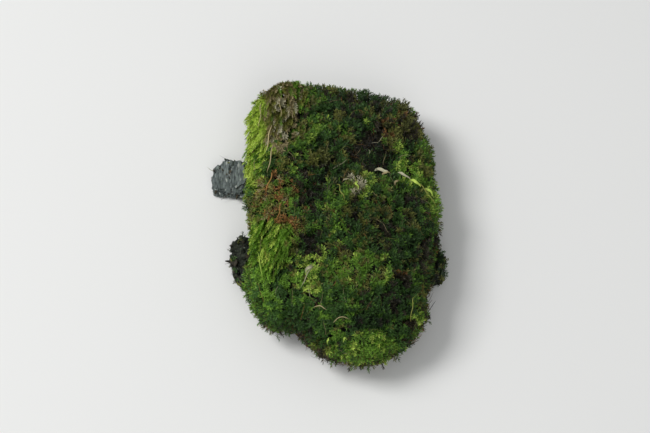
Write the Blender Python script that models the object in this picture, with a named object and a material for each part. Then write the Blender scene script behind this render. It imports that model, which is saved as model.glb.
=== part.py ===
"""A clump of moss, lifted from the ground with the humus it grew on.

Run with: blender --background --python part.py

Units are metres, +Z is up. The origin is on the flat underside of the humus mat, below the
middle of the clump. +Y runs along the clump to its narrower end, and +X to its right-hand side.

The clump comes apart into five pieces: the turf of grown-together moss shoots, the thin mat of
humus and roots that it holds on to, and three bits of bark and humus stuck to that mat's rim.
Every piece is closed and faceted. The turf is the outer shape that the tips of its shoots reach.
"""

import math
from bisect import bisect_right

import bmesh
import bpy
from mathutils import Matrix, Vector, noise

MM = 0.001

# Heights above the surface that the clump rests on.
MAT_THICKNESS = 6.0 * MM
TOUCHING_GAP = 0.3 * MM
TURF_FOOT = MAT_THICKNESS + TOUCHING_GAP
TURF_RIM = 9.5 * MM  # where the turf is widest
TURF_DOME = 13.0 * MM  # rise of the plain dome above the rim, before its lobes

# Outline of the turf seen from above, in millimetres, counter-clockwise from the right-hand side.
TURF_OUTLINE = [
    (30.5, -2), (29.8, 8), (28.3, 18), (26.3, 30), (20, 41), (8, 46), (-6, 48), (-20, 50),
    (-29.5, 45.5), (-32.5, 34), (-32.5, 22), (-31.5, 8), (-30.5, -4), (-30, -14), (-31, -24),
    (-30, -30.5), (-26.5, -35.5), (-21.5, -40), (-17, -35.5), (-14.5, -39), (-11, -44.5),
    (-6.5, -48.5), (-1, -49.5), (6, -51.5), (12.5, -50), (18, -46.5), (22.8, -42.3),
    (26.6, -36.5), (26.6, -31), (27.4, -24), (29.3, -14),
]

# Lobes and hollows of the turf: centre x and y, radius and height, in millimetres.
TURF_LOBES = [
    (-21, 24, 11, 4.5),
    (-19, -21, 10, 4.0),
    (3, -37, 12, 4.0),
    (18, -20, 10, 3.0),
    (3, 1, 12, 4.5),
    (9, 29, 11, 3.5),
    (-9, 13, 5, -3.5),
    (17, 10, 6, -3.5),
    (-8, -17, 5, -2.5),
]

# How much flatter than a half-ellipsoid the dome is: 1 is an ellipse, less is more of a pillow.
PILLOW = 0.72

SMOOTHING = 3  # rounds of evening out

# Uneven surfaces: size of the lumps and how far they stand out.
TUFT_SIZE = 7.0 * MM
TUFT_HEIGHT = 1.1 * MM
CRUMB_SIZE = 3.2 * MM
CRUMB_HEIGHT = 0.7 * MM

MAT_SHARE = 0.93  # the mat's width as a share of the turf's
MAT_BULGE = 2.2  # how far past its two flat faces the mat's rounded rim would close

# Lumps of humus stuck to the mat's rim: name, centre, half sizes, turn about Z in degrees.
HUMUS_BITS = [
    ("humus_crumb", (-31.2, -11.0, 3.2), (4.8, 10.0, 4.0), 8),
    ("humus_lump", (26.4, -13.6, 4.0), (5.4, 6.8, 4.9), -12),
]

# The bark flake lies flat beside the mat: its middle, its outline about that, counter-clockwise,
# and from its underside to its top the height and the share of the outline at each ring of its
# broken edge. In millimetres.
FLAKE_MIDDLE = (-38.3, 19.5, 0.0)
FLAKE_OUTLINE = [(9.5, -1), (7, 6), (-0.5, 8), (-4.4, 3.5), (-5.4, -0.5), (-4, -5.5), (1, -6.5), (7, -7.5)]
FLAKE_RINGS = [
    (-0.5, 0.5), (-0.5, 0.85), (0.9, 1.0), (1.9, 0.97), (2.3, 0.88), (3.5, 0.90), (4.1, 0.80),
    (4.4, 0.45),
]
FLAKE_TILT = 7.0  # degrees down to its free left-hand edge
FLAKE_ROUGHNESS = 0.45 * MM

MATERIALS = {
    "moss": ((0.050, 0.105, 0.018, 1.0), 0.85),
    "humus": ((0.022, 0.014, 0.009, 1.0), 0.95),
    "grey_bark": ((0.060, 0.062, 0.058, 1.0), 0.90),
}


def clear_scene():
    for obj in list(bpy.data.objects):
        bpy.data.objects.remove(obj)


def make_material(name):
    colour, roughness = MATERIALS[name]
    material = bpy.data.materials.new(name)
    material.use_nodes = True
    shader = material.node_tree.nodes["Principled BSDF"]
    shader.inputs["Base Color"].default_value = colour
    shader.inputs["Roughness"].default_value = roughness
    shader.inputs["Metallic"].default_value = 0.0
    return material


def make_collection(name):
    collection = bpy.data.collections.new(name)
    bpy.context.scene.collection.children.link(collection)
    return collection


def outline_as_angles():
    """The outline's points as (angle, radius), sorted, going a little past a full turn."""
    points = sorted((math.atan2(y, x), math.hypot(x, y) * MM) for x, y in TURF_OUTLINE)
    before = [(angle - math.tau, radius) for angle, radius in points[-2:]]
    after = [(angle + math.tau, radius) for angle, radius in points[:2]]
    return [*before, *points, *after]


OUTLINE_ANGLES = outline_as_angles()


def outline_radius(angle):
    """Distance from the origin to the turf's outline: a smooth curve through its points."""
    following = bisect_right(OUTLINE_ANGLES, (angle, math.inf))
    (a0, r0), (a1, r1), (a2, r2), (a3, r3) = OUTLINE_ANGLES[following - 2 : following + 2]
    span = a2 - a1
    share = (angle - a1) / span
    slope_in = (r2 - r0) / (a2 - a0) * span
    slope_out = (r3 - r1) / (a3 - a1) * span
    change = r2 - r1
    bend_2 = 3 * change - 2 * slope_in - slope_out
    bend_3 = slope_in + slope_out - 2 * change
    return r1 + share * (slope_in + share * (bend_2 + share * bend_3))


def lobe_height(x, y):
    """How far the lobes lift, and the hollows lower, the dome at this place."""
    height = 0.0
    for centre_x, centre_y, radius, rise in TURF_LOBES:
        apart = math.hypot(x - centre_x * MM, y - centre_y * MM) / (radius * MM)
        height += rise * MM * math.exp(-apart * apart)
    return height


def even_out(mesh, rounds):
    """Eases each point towards its neighbours, so that no triangle is left folded or sharp."""
    for _ in range(rounds):
        bmesh.ops.smooth_vert(
            mesh, verts=mesh.verts, factor=0.5, use_axis_x=True, use_axis_y=True, use_axis_z=True
        )


def roughen(mesh, size, height):
    """Moves each point in or out along its normal by lumps of this size."""
    mesh.normal_update()
    moves = [vert.normal * (height * noise.noise(vert.co / size)) for vert in mesh.verts]
    for vert, move in zip(mesh.verts, moves):
        vert.co += move


def cut_flat(mesh, height, keep_above):
    """Cuts the mesh off at this height and closes the cut with one flat face."""
    cut = bmesh.ops.bisect_plane(
        mesh,
        geom=[*mesh.verts, *mesh.edges, *mesh.faces],
        dist=0.02 * MM,
        plane_co=(0, 0, height),
        plane_no=(0, 0, 1),
        clear_inner=keep_above,
        clear_outer=not keep_above,
    )
    rim = [item for item in cut["geom_cut"] if isinstance(item, bmesh.types.BMEdge)]
    bmesh.ops.holes_fill(mesh, edges=rim)


def add_object(name, mesh, material, collection):
    data = bpy.data.meshes.new(name)
    bmesh.ops.recalc_face_normals(mesh, faces=mesh.faces)
    mesh.to_mesh(data)
    mesh.free()
    data.materials.append(material)
    data.shade_smooth()
    data.set_sharp_from_angle(angle=math.radians(50))
    obj = bpy.data.objects.new(name, data)
    collection.objects.link(obj)
    return obj


def make_turf(material, collection):
    """The moss: a pillow over the outline, lifted into lobes and cut flat where it meets the mat."""
    mesh = bmesh.new()
    bmesh.ops.create_icosphere(mesh, subdivisions=5, radius=1)
    for vert in mesh.verts:
        turn = math.atan2(vert.co.y, vert.co.x)
        across = math.hypot(vert.co.x, vert.co.y)
        radius = outline_radius(turn) * across**PILLOW
        x, y = radius * math.cos(turn), radius * math.sin(turn)
        up = abs(vert.co.z) ** PILLOW
        if vert.co.z > 0:
            z = TURF_RIM + up * (TURF_DOME + lobe_height(x, y))
        else:
            z = TURF_RIM - 2 * up * (TURF_RIM - TURF_FOOT)
        vert.co = Vector((x, y, z))
    even_out(mesh, SMOOTHING)
    roughen(mesh, TUFT_SIZE, TUFT_HEIGHT)
    cut_flat(mesh, TURF_FOOT, keep_above=True)
    return add_object("moss_turf", mesh, material, collection)


def make_mat(material, collection):
    """The humus mat: a slab a little narrower than the turf, flat above and below, crumbly round."""
    mesh = bmesh.new()
    bmesh.ops.create_icosphere(mesh, subdivisions=5, radius=1)
    for vert in mesh.verts:
        turn = math.atan2(vert.co.y, vert.co.x)
        across = math.hypot(vert.co.x, vert.co.y)
        radius = MAT_SHARE * outline_radius(turn) * across**PILLOW
        z = MAT_THICKNESS / 2 * (1 + MAT_BULGE * vert.co.z)
        vert.co = Vector((radius * math.cos(turn), radius * math.sin(turn), z))
    even_out(mesh, SMOOTHING)
    roughen(mesh, CRUMB_SIZE, CRUMB_HEIGHT)
    cut_flat(mesh, 0.0, keep_above=True)
    cut_flat(mesh, MAT_THICKNESS, keep_above=False)
    return add_object("humus_mat", mesh, material, collection)


def make_cutter(obj, collection):
    """A copy that is larger by the gap between touching pieces."""
    mesh = bmesh.new()
    mesh.from_mesh(obj.data)
    for vert in mesh.verts:
        vert.co += vert.normal * TOUCHING_GAP
    cutter = add_object(obj.name + "_cutter", mesh, obj.data.materials[0], collection)
    cutter.hide_render = True
    cutter.display_type = "WIRE"
    return cutter


def shape_humus(centre, half_sizes, turn):
    """A rounded lump of humus."""
    mesh = bmesh.new()
    bmesh.ops.create_icosphere(mesh, subdivisions=3, radius=1)
    about_z = Matrix.Rotation(math.radians(turn), 3, "Z")
    bmesh.ops.scale(mesh, vec=Vector(half_sizes) * MM, verts=mesh.verts)
    bmesh.ops.rotate(mesh, cent=(0, 0, 0), matrix=about_z, verts=mesh.verts)
    bmesh.ops.translate(mesh, vec=Vector(centre) * MM, verts=mesh.verts)
    roughen(mesh, CRUMB_SIZE, CRUMB_HEIGHT)
    return mesh


def shape_flake():
    """A flat flake of bark, broken off all round, with a step where its layers part."""
    mesh = bmesh.new()
    height, share = FLAKE_RINGS[0]
    corners = [Vector((x * share, y * share, height)) * MM for x, y in FLAKE_OUTLINE]
    mesh.faces.new([mesh.verts.new(corner) for corner in corners])
    bmesh.ops.subdivide_edges(mesh, edges=mesh.edges, cuts=2)
    underside = cap = mesh.faces[:][0]
    for next_height, next_share in FLAKE_RINGS[1:]:
        grown = bmesh.ops.extrude_face_region(mesh, geom=[cap])["geom"]
        if cap != underside:
            bmesh.ops.delete(mesh, geom=[cap], context="FACES_ONLY")
        cap = next(item for item in grown if isinstance(item, bmesh.types.BMFace))
        widen = next_share / share
        bmesh.ops.scale(mesh, vec=(widen, widen, 1), verts=cap.verts)
        bmesh.ops.translate(mesh, vec=(0, 0, (next_height - height) * MM), verts=cap.verts)
        height, share = next_height, next_share
    bmesh.ops.poke(mesh, faces=[underside, cap])
    bmesh.ops.recalc_face_normals(mesh, faces=mesh.faces)
    tilt = Matrix.Rotation(math.radians(-FLAKE_TILT), 3, "Y")
    bmesh.ops.rotate(mesh, cent=(0, 0, 0), matrix=tilt, verts=mesh.verts)
    bmesh.ops.translate(mesh, vec=Vector(FLAKE_MIDDLE) * MM, verts=mesh.verts)
    roughen(mesh, CRUMB_SIZE, FLAKE_ROUGHNESS)
    return mesh


def add_bit(name, mesh, material, collection, cutters):
    """Adds a bit of bark or humus on the surface, cut to the shape of what it sticks to."""
    cut_flat(mesh, 0.0, keep_above=True)
    bit = add_object(name, mesh, material, collection)
    for cutter in cutters:
        trim = bit.modifiers.new("trim_to_" + cutter.name, "BOOLEAN")
        trim.operation = "DIFFERENCE"
        trim.object = cutter
    return bit


def main():
    clear_scene()
    clump = make_collection("moss_clump")
    helpers = make_collection("cutters")
    materials = {name: make_material(name) for name in MATERIALS}
    turf = make_turf(materials["moss"], clump)
    mat = make_mat(materials["humus"], clump)
    cutters = [make_cutter(obj, helpers) for obj in (turf, mat)]
    add_bit("bark_flake", shape_flake(), materials["grey_bark"], clump, cutters)
    for name, centre, half_sizes, turn in HUMUS_BITS:
        add_bit(name, shape_humus(centre, half_sizes, turn), materials["humus"], clump, cutters)


main()
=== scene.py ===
"""The looks of a lifted clump of moss: leafy shoots, dry strands, humus, grit and rotten bark.

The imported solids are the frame. The turf's solid is the outer shape that its shoot tips reach, so
every shoot is planted inside it and grows out to it. Lengths in the tables are in millimetres, as
their names or comments say, and everything that is handed to Blender is in metres.
"""

import logging
import math
from dataclasses import dataclass, field
from enum import Enum
from functools import partial

import bmesh
import bpy
import numpy as np
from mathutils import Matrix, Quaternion, Vector, noise
from mathutils.bvhtree import BVHTree
from mathutils.kdtree import KDTree


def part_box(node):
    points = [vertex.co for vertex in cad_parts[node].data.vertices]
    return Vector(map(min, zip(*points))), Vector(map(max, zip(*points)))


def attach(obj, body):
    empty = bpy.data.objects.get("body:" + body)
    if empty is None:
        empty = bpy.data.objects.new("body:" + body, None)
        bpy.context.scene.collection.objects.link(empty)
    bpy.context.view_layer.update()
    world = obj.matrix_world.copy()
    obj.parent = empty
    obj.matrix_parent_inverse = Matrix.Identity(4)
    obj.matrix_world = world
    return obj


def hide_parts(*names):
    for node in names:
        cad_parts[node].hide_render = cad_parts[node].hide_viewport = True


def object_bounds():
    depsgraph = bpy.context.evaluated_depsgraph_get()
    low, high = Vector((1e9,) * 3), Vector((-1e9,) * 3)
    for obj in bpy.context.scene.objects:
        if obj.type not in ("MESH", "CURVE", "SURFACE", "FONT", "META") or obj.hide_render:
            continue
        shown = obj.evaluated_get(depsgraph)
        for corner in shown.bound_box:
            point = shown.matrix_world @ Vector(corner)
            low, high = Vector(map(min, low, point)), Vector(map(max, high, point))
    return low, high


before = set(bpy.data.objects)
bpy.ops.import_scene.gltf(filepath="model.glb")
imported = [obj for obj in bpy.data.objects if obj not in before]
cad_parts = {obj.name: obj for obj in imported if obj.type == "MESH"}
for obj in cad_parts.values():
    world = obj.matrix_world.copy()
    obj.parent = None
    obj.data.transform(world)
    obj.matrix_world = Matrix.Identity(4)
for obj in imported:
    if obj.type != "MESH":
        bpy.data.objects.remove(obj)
PACKED_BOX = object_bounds()

log = logging.getLogger("moss_clump")

MM = 0.001
BODY = "root"
CHART = "OFBake"  # the UV map that holds each leaf's place on its chart of colours
CHART_SHADES = 16
CHART_INSET = 0.08  # share of a swatch kept clear, so that neighbours don't bleed into one another
LOWEST = 0.1 * MM  # height over the floor that no fine piece goes below
GOLDEN_TURN = math.pi * (3 - math.sqrt(5))  # the angle from one leaf to the next round a stem
UP = np.array([0.0, 0.0, 1.0])

# A leaf's waist and its rib there: how far along the leaf each is, how much of the curl it has,
# and how far the fold lifts it, as a share of the leaf's width.
LEAF_WAIST = (0.36, 0.10, 0.16)
LEAF_RIB = (0.50, 0.22, -0.10)
CURL_SHORTENS = 0.25  # how much a full curl shortens a leaf
BLADE_FOLD = 0.35  # how far a long blade's edges stand up, as a share of its half width
SHARD_TAPER = 0.92  # a flake's underside beside its top


class Hue(Enum):
    """The families of colour that moss and litter have, one row of the chart each."""

    DEEP = 0
    FRESH = 1
    LIME = 2
    OLIVE = 3
    TAN = 4
    RUST = 5
    DEAD = 6
    BLEACHED = 7


# The darkest and the lightest shade of each family, as sRGB hex.
CHART_COLOURS: dict[Hue, tuple[str, str]] = {
    Hue.DEEP: ("#13280A", "#527F30"),
    Hue.FRESH: ("#23480F", "#86B53A"),
    Hue.LIME: ("#4E7C14", "#D0E868"),
    Hue.OLIVE: ("#2F3611", "#979A48"),
    Hue.TAN: ("#4E4428", "#BDAE80"),
    Hue.RUST: ("#38250F", "#B07F42"),
    Hue.DEAD: ("#110F08", "#4E4630"),
    Hue.BLEACHED: ("#7C7956", "#E2DDBD"),
}


# ------------------------------------------------------------------ arrays and meshes


def unit(vectors: np.ndarray) -> np.ndarray:
    """Scales vectors to length 1.

    Args:
        vectors: Vectors along the last axis.

    Returns:
        The same directions with length 1.
    """
    return vectors / np.maximum(np.linalg.norm(vectors, axis=-1, keepdims=True), 1e-12)


def ease(values: np.ndarray, low: float, high: float) -> np.ndarray:
    """A smooth step.

    Args:
        values: Numbers to step.
        low: Where the step starts, at 0.
        high: Where it ends, at 1.

    Returns:
        Numbers from 0 to 1.
    """
    share = np.clip((values - low) / (high - low), 0.0, 1.0)
    return share * share * (3 - 2 * share)


def lumps(points: np.ndarray, size: float, seed: float) -> np.ndarray:
    """Smooth random lumps in space.

    Args:
        points: Places, one a row.
        size: Width of a lump, in the points' unit.
        seed: Picks another set of lumps.

    Returns:
        One number from about -1 to 1 for each place.
    """
    shift = Vector((seed * 7.31, seed * 3.17, seed * 5.71))
    return np.array([noise.noise(Vector(point) / size + shift) for point in points])


def tube_faces(rings: int, around: int) -> np.ndarray:
    """Triangles between rings of points.

    Args:
        rings: How many rings follow one another.
        around: Points in each ring.

    Returns:
        Point numbers, one triangle a row.
    """
    here = np.arange(around)
    start = around * np.arange(rings - 1)[:, None]
    here, beside = (start + here).ravel(), (start + (here + 1) % around).ravel()
    return np.concatenate(
        [
            np.column_stack([here, beside, here + around]),
            np.column_stack([beside, beside + around, here + around]),
        ]
    )


def closed_faces(rings: int, around: int) -> np.ndarray:
    """Triangles between rings of points, with a lid at each end.

    Args:
        rings: How many rings follow one another.
        around: Points in each ring. Two more follow the rings: the middles of the first ring's
            lid and of the last ring's.

    Returns:
        Point numbers, one triangle a row.
    """
    first = np.arange(around)
    first_after = (first + 1) % around
    last, last_after = (ring + (rings - 1) * around for ring in (first, first_after))
    middle = np.full(around, rings * around)
    return np.concatenate(
        [
            tube_faces(rings, around),
            np.column_stack([middle, first_after, first]),
            np.column_stack([middle + 1, last, last_after]),
        ]
    )


def chart_place(hue: np.ndarray, shade: np.ndarray, across: np.ndarray, along: np.ndarray) -> np.ndarray:
    """Places points on the chart of colours.

    Args:
        hue: Row of the chart.
        shade: From 0, dark, to 1, light.
        across: Place inside the swatch from side to side, 0 to 1.
        along: Place inside the swatch from base to tip, 0 to 1.

    Returns:
        UV coordinates.
    """
    column = np.clip(np.floor(shade * CHART_SHADES), 0, CHART_SHADES - 1)
    u = (column + CHART_INSET + (1 - 2 * CHART_INSET) * across) / CHART_SHADES
    v = (hue + CHART_INSET + (1 - 2 * CHART_INSET) * along) / len(Hue)
    return np.stack(np.broadcast_arrays(u, v), axis=-1)


def draw_hues(rng: np.random.Generator, mix: tuple[tuple[Hue, float], ...], count: int) -> np.ndarray:
    """Draws rows of the chart.

    Args:
        rng: Random source.
        mix: The families of colour and how often each is drawn.
        count: How many rows to draw.

    Returns:
        The rows.
    """
    return rng.choice([hue.value for hue, _ in mix], count, p=[share for _, share in mix])


def add_piece(
    name: str,
    points: np.ndarray,
    faces: np.ndarray,
    material: bpy.types.Material,
    chart: np.ndarray | None = None,
    smooth: bool = True,
) -> bpy.types.Object:
    """Makes one mesh object of the clump, riding on its body.

    Args:
        name: The piece's name.
        points: Vertices in metres.
        faces: Vertex numbers, one face a row.
        material: What it is made of.
        chart: UV coordinates of each vertex on the chart, if it has them.
        smooth: Whether its shading runs on from face to face.

    Returns:
        The new object.
    """
    mesh = bpy.data.meshes.new(name)
    mesh.from_pydata(points, [], faces)
    if chart is not None:
        layer = mesh.uv_layers.new(name=CHART)
        layer.uv.foreach_set("vector", chart[faces.ravel()].astype(np.float32).ravel())
    if smooth:
        mesh.shade_smooth()
    mesh.materials.append(material)
    piece = bpy.data.objects.new(name, mesh)
    bpy.context.scene.collection.objects.link(piece)
    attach(piece, BODY)
    log.info("%s: %d faces", name, len(faces))
    return piece


@dataclass
class Soup:
    """Points, triangles and chart places that are collected before they become one mesh."""

    points: list[np.ndarray] = field(default_factory=list)
    faces: list[np.ndarray] = field(default_factory=list)
    charts: list[np.ndarray] = field(default_factory=list)
    count: int = 0

    def add(self, points: np.ndarray, faces: np.ndarray, chart: np.ndarray) -> None:
        """Adds one batch.

        Args:
            points: Vertices, one a row.
            faces: Triangles that number this batch's own vertices from 0.
            chart: UV place of each vertex.
        """
        self.points.append(points.reshape(-1, 3))
        self.faces.append(faces.reshape(-1, 3) + self.count)
        self.charts.append(chart.reshape(-1, 2))
        self.count += len(self.points[-1])

    def piece(self, name: str, material: bpy.types.Material, smooth: bool = True) -> bpy.types.Object:
        """Makes one object of all that was added.

        Args:
            name: The piece's name.
            material: What it is made of.
            smooth: Whether its shading runs on from face to face.

        Returns:
            The new object.
        """
        points = np.concatenate(self.points)
        points[:, 2] = np.maximum(points[:, 2], LOWEST)
        faces, chart = np.concatenate(self.faces), np.concatenate(self.charts)
        return add_piece(name, points, faces, material, chart, smooth)


def leaves(
    soup: Soup,
    base: np.ndarray,
    along: np.ndarray,
    across: np.ndarray,
    length: np.ndarray,
    width: np.ndarray,
    curl: np.ndarray,
    hue: np.ndarray,
    shade: np.ndarray,
) -> None:
    """Adds lance-shaped leaves, each four triangles folded along a raised midrib.

    Args:
        soup: Takes the leaves.
        base: Where each leaf leaves its stem.
        along: Direction of each leaf.
        across: Direction across each blade.
        length: Lengths.
        width: Widths.
        curl: How far each tip bends towards the leaf's inner side, as a share of its length.
        hue: Row of the chart.
        shade: From 0, dark, to 1, light.
    """
    inner = np.cross(across, along)
    length, width, curl = length[:, None], width[:, None], curl[:, None]
    waist, rib = (
        base + along * (place * length) + inner * (bent * curl * length + lift * width)
        for place, bent, lift in (LEAF_WAIST, LEAF_RIB)
    )
    tip = base + along * (length * (1 - CURL_SHORTENS * np.abs(curl))) + inner * (curl * length)
    half = across * (0.5 * width)
    points = np.stack([base, waist - half, waist + half, rib, tip], axis=1)
    count = len(base)
    corners = np.array([[0, 2, 3], [0, 3, 1], [3, 2, 4], [1, 3, 4]])
    faces = corners[None] + 5 * np.arange(count)[:, None, None]
    side = np.array([0.5, 0.0, 1.0, 0.5, 0.5])
    rise = np.array([0.0, LEAF_WAIST[0], LEAF_WAIST[0], LEAF_RIB[0], 1.0])
    chart = chart_place(hue[:, None], shade[:, None], side[None], rise[None])
    soup.add(points, faces, chart)


def strands(
    soup: Soup,
    paths: np.ndarray,
    radii: np.ndarray,
    hue: np.ndarray,
    shade: np.ndarray,
    sides: int = 3,
) -> None:
    """Adds round strands, such as stems, roots and straws.

    Args:
        soup: Takes the strands.
        paths: Points along each strand: strand, point, coordinate.
        radii: Radius at each of those points.
        hue: Row of the chart for each strand.
        shade: From 0, dark, to 1, light, for each strand.
        sides: Sides of the tube.
    """
    count, steps = paths.shape[:2]
    ahead = unit(np.gradient(paths, axis=1))
    upright = np.abs(ahead[:, :1, 2:]) > 0.9
    aside = np.where(upright, np.array([1.0, 0.0, 0.0]), UP)
    first = unit(np.cross(ahead, np.broadcast_to(aside, ahead.shape)))
    second = np.cross(ahead, first)
    turn = np.arange(sides) * math.tau / sides
    ring = first[:, :, None] * np.cos(turn)[:, None] + second[:, :, None] * np.sin(turn)[:, None]
    points = paths[:, :, None] + ring * radii[:, :, None, None]
    faces = tube_faces(steps, sides)[None] + steps * sides * np.arange(count)[:, None, None]
    side_share = np.abs(2 * np.arange(sides) / sides - 1)
    rise = np.linspace(0, 1, steps)
    chart = chart_place(
        hue[:, None, None], shade[:, None, None], side_share[None, None, :], rise[None, :, None]
    )
    soup.add(points, faces, np.broadcast_to(chart, (count, steps, sides, 2)))


def blades(
    soup: Soup,
    paths: np.ndarray,
    widths: np.ndarray,
    facing: np.ndarray,
    hue: np.ndarray,
    shade: np.ndarray,
) -> None:
    """Adds long narrow leaf blades, folded along the midrib and tapering to a point.

    Args:
        soup: Takes the blades.
        paths: Points along each midrib: blade, point, coordinate.
        widths: Greatest width of each blade.
        facing: Which way the upper side of each blade faces, at each of its points.
        hue: Row of the chart for each blade.
        shade: From 0, dark, to 1, light, for each blade.
    """
    count, steps = paths.shape[:2]
    ahead = unit(np.gradient(paths, axis=1))
    aside = unit(np.cross(ahead, facing))
    share = np.linspace(0.0, 1.0, steps)
    outline = np.sin(math.pi * share**0.8) ** 0.7 + 0.04  # broadest before its middle, blunt at its ends
    half = 0.5 * widths[:, None, None] * outline[None, :, None]
    fold = unit(facing) * half * BLADE_FOLD
    points = np.stack([paths + aside * half + fold, paths, paths - aside * half + fold], axis=2)
    step, side = np.meshgrid(np.arange(steps - 1), np.arange(2), indexing="ij")
    here = step * 3 + side
    corners = np.concatenate(
        [
            np.stack([here, here + 1, here + 4], axis=-1).reshape(-1, 3),
            np.stack([here, here + 4, here + 3], axis=-1).reshape(-1, 3),
        ]
    )
    faces = corners[None] + 3 * steps * np.arange(count)[:, None, None]
    across = np.array([0.0, 0.5, 1.0])[None, None]
    chart = chart_place(hue[:, None, None], shade[:, None, None], across, share[None, :, None])
    soup.add(points, faces, chart)


def shards(
    soup: Soup,
    places: np.ndarray,
    facing: np.ndarray,
    sizes: np.ndarray,
    hue: np.ndarray,
    shade: np.ndarray,
    rng: np.random.Generator,
    slender: float = 0.5,
    thick: float = 0.22,
) -> None:
    """Adds thin angular flakes, such as bits of bark and rotten wood.

    Args:
        soup: Takes the flakes.
        places: Their middles.
        facing: Which way each faces.
        sizes: Their half lengths.
        hue: Row of the chart for each.
        shade: From 0, dark, to 1, light, for each.
        rng: Random source.
        slender: Width as a share of the length.
        thick: Thickness as a share of the length.
    """
    count, corners = len(places), 7
    facing = unit(facing)
    first = unit(np.cross(facing, unit(rng.normal(size=(count, 3)))))
    second = np.cross(facing, first)
    turn = math.tau * (np.arange(corners) + rng.uniform(-0.35, 0.35, (count, corners))) / corners
    out = rng.uniform(0.6, 1.1, (count, corners))
    flat = (
        first[:, None] * (out * np.cos(turn))[:, :, None]
        + second[:, None] * (slender * out * np.sin(turn))[:, :, None]
    )
    rise = facing[:, None] * (0.5 * thick * rng.uniform(0.5, 1.3, (count, corners, 1)))
    rings = np.concatenate([flat + rise, flat * SHARD_TAPER - rise], axis=1)
    caps = np.stack([facing * thick * 0.6, -facing * thick * 0.6], axis=1)
    points = places[:, None] + np.concatenate([rings, caps], axis=1) * sizes[:, None, None]
    solid = closed_faces(2, corners)[:, ::-1]
    faces = solid[None] + (2 * corners + 2) * np.arange(count)[:, None, None]
    even = math.tau * np.arange(corners) / corners
    across, along = (
        np.concatenate([part, part, np.zeros(2)]) * 0.5 + 0.5 for part in (np.cos(even), np.sin(even))
    )
    soup.add(points, faces, chart_place(hue[:, None], shade[:, None], across[None], along[None]))


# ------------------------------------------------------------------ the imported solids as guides


class Form:
    """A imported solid, read as the shape that the fine pieces grow on."""

    weld = 0.002 * MM  # points closer than this are one
    far = 0.3  # where rays start, so that they meet the outermost skin first
    overhead = 0.2
    tries_per_place = 9  # enough for even cover
    steepest_under = -0.8  # of the skin that scatter covers: the Z of its outward direction

    def __init__(self, node: str) -> None:
        """Reads the solid.

        Args:
            node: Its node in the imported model.
        """
        mesh = bmesh.new()
        mesh.from_mesh(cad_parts[node].data)
        bmesh.ops.remove_doubles(mesh, verts=mesh.verts, dist=self.weld)
        bmesh.ops.triangulate(mesh, faces=mesh.faces)
        mesh.normal_update()
        self.node = node
        self.tree = BVHTree.FromBMesh(mesh)
        self.points = np.array([vert.co for vert in mesh.verts])
        self.normals = np.array([vert.normal for vert in mesh.verts])
        self.faces = np.array([[vert.index for vert in face.verts] for face in mesh.faces])
        self.low, self.high = (np.array(corner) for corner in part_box(node))
        mesh.free()

    @property
    def centre(self) -> np.ndarray:
        """The middle of the solid's box."""
        return (self.low + self.high) / 2

    def reach(self, start: np.ndarray, ahead: np.ndarray) -> float:
        """How far the solid's skin is from a point inside it.

        Args:
            start: The point.
            ahead: The direction to look in.

        Returns:
            The distance, or 0 where nothing is met.
        """
        hit = self.tree.ray_cast(Vector(start + ahead * self.far), Vector(-ahead))
        return self.far - hit[3] if hit[0] is not None else 0.0

    def top(self, x: float, y: float) -> float | None:
        """Height of the solid's upper side over a place, or None beside it."""
        hit = self.tree.ray_cast(Vector((x, y, self.overhead)), Vector((0, 0, -1)))
        return hit[0].z if hit[0] is not None else None

    def inside(self, places: np.ndarray, depth: float) -> np.ndarray:
        """Draws places back under the skin.

        Args:
            places: Places, most of them inside the solid already.
            depth: How deep under the skin each has to be.

        Returns:
            The same places, with any that stand out of the solid moved in.
        """
        moved = places.copy()
        for number, place in enumerate(places):
            near, outward, _, _ = self.tree.find_nearest(Vector(place))
            short = depth + (Vector(place) - near).dot(outward)
            if short > 0:
                moved[number] -= np.array(outward) * short
        return moved

    def scatter(
        self, spacing: float, above: float, rng: np.random.Generator
    ) -> tuple[np.ndarray, np.ndarray]:
        """Even but irregular places over the skin.

        Args:
            spacing: The least distance between two places.
            above: Skin lower than this, or facing straight down, gets none.
            rng: Random source.

        Returns:
            Places, and the outward direction at each.
        """
        corners = self.points[self.faces]
        cross = np.cross(corners[:, 1] - corners[:, 0], corners[:, 2] - corners[:, 0])
        area = np.linalg.norm(cross, axis=1) / 2
        facing = cross[:, 2] / np.maximum(2 * area, 1e-12)
        area = area * (corners[:, :, 2].mean(axis=1) > above) * (facing > self.steepest_under)
        tries = int(self.tries_per_place * area.sum() / spacing**2)
        picked = rng.choice(len(area), tries, p=area / area.sum())
        share = rng.dirichlet((1, 1, 1), tries)[:, :, None]
        places = (corners[picked] * share).sum(axis=1)
        outward = unit((self.normals[self.faces[picked]] * share).sum(axis=1))
        taken: dict[tuple[int, int, int], list[int]] = {}
        kept: list[int] = []
        cells = np.floor(places / spacing).astype(int)
        near = [(i, j, k) for i in (-1, 0, 1) for j in (-1, 0, 1) for k in (-1, 0, 1)]
        for number, (place, (a, b, c)) in enumerate(zip(places, cells)):
            others = [m for i, j, k in near for m in taken.get((a + i, b + j, c + k), ())]
            if not others or ((places[others] - place) ** 2).sum(axis=1).min() >= spacing**2:
                taken.setdefault((a, b, c), []).append(number)
                kept.append(number)
        return places[kept], outward[kept]


# ------------------------------------------------------------------ materials


def linear(code: str) -> tuple[float, float, float, float]:
    """Turns an sRGB hex colour into Blender's linear colour.

    Args:
        code: The colour as "#RRGGBB".

    Returns:
        Linear red, green, blue and an alpha of 1.
    """
    parts = [int(code[start : start + 2], 16) / 255 for start in (1, 3, 5)]
    red, green, blue = (
        part / 12.92 if part <= 0.04045 else ((part + 0.055) / 1.055) ** 2.4 for part in parts
    )
    return red, green, blue, 1.0


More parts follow.
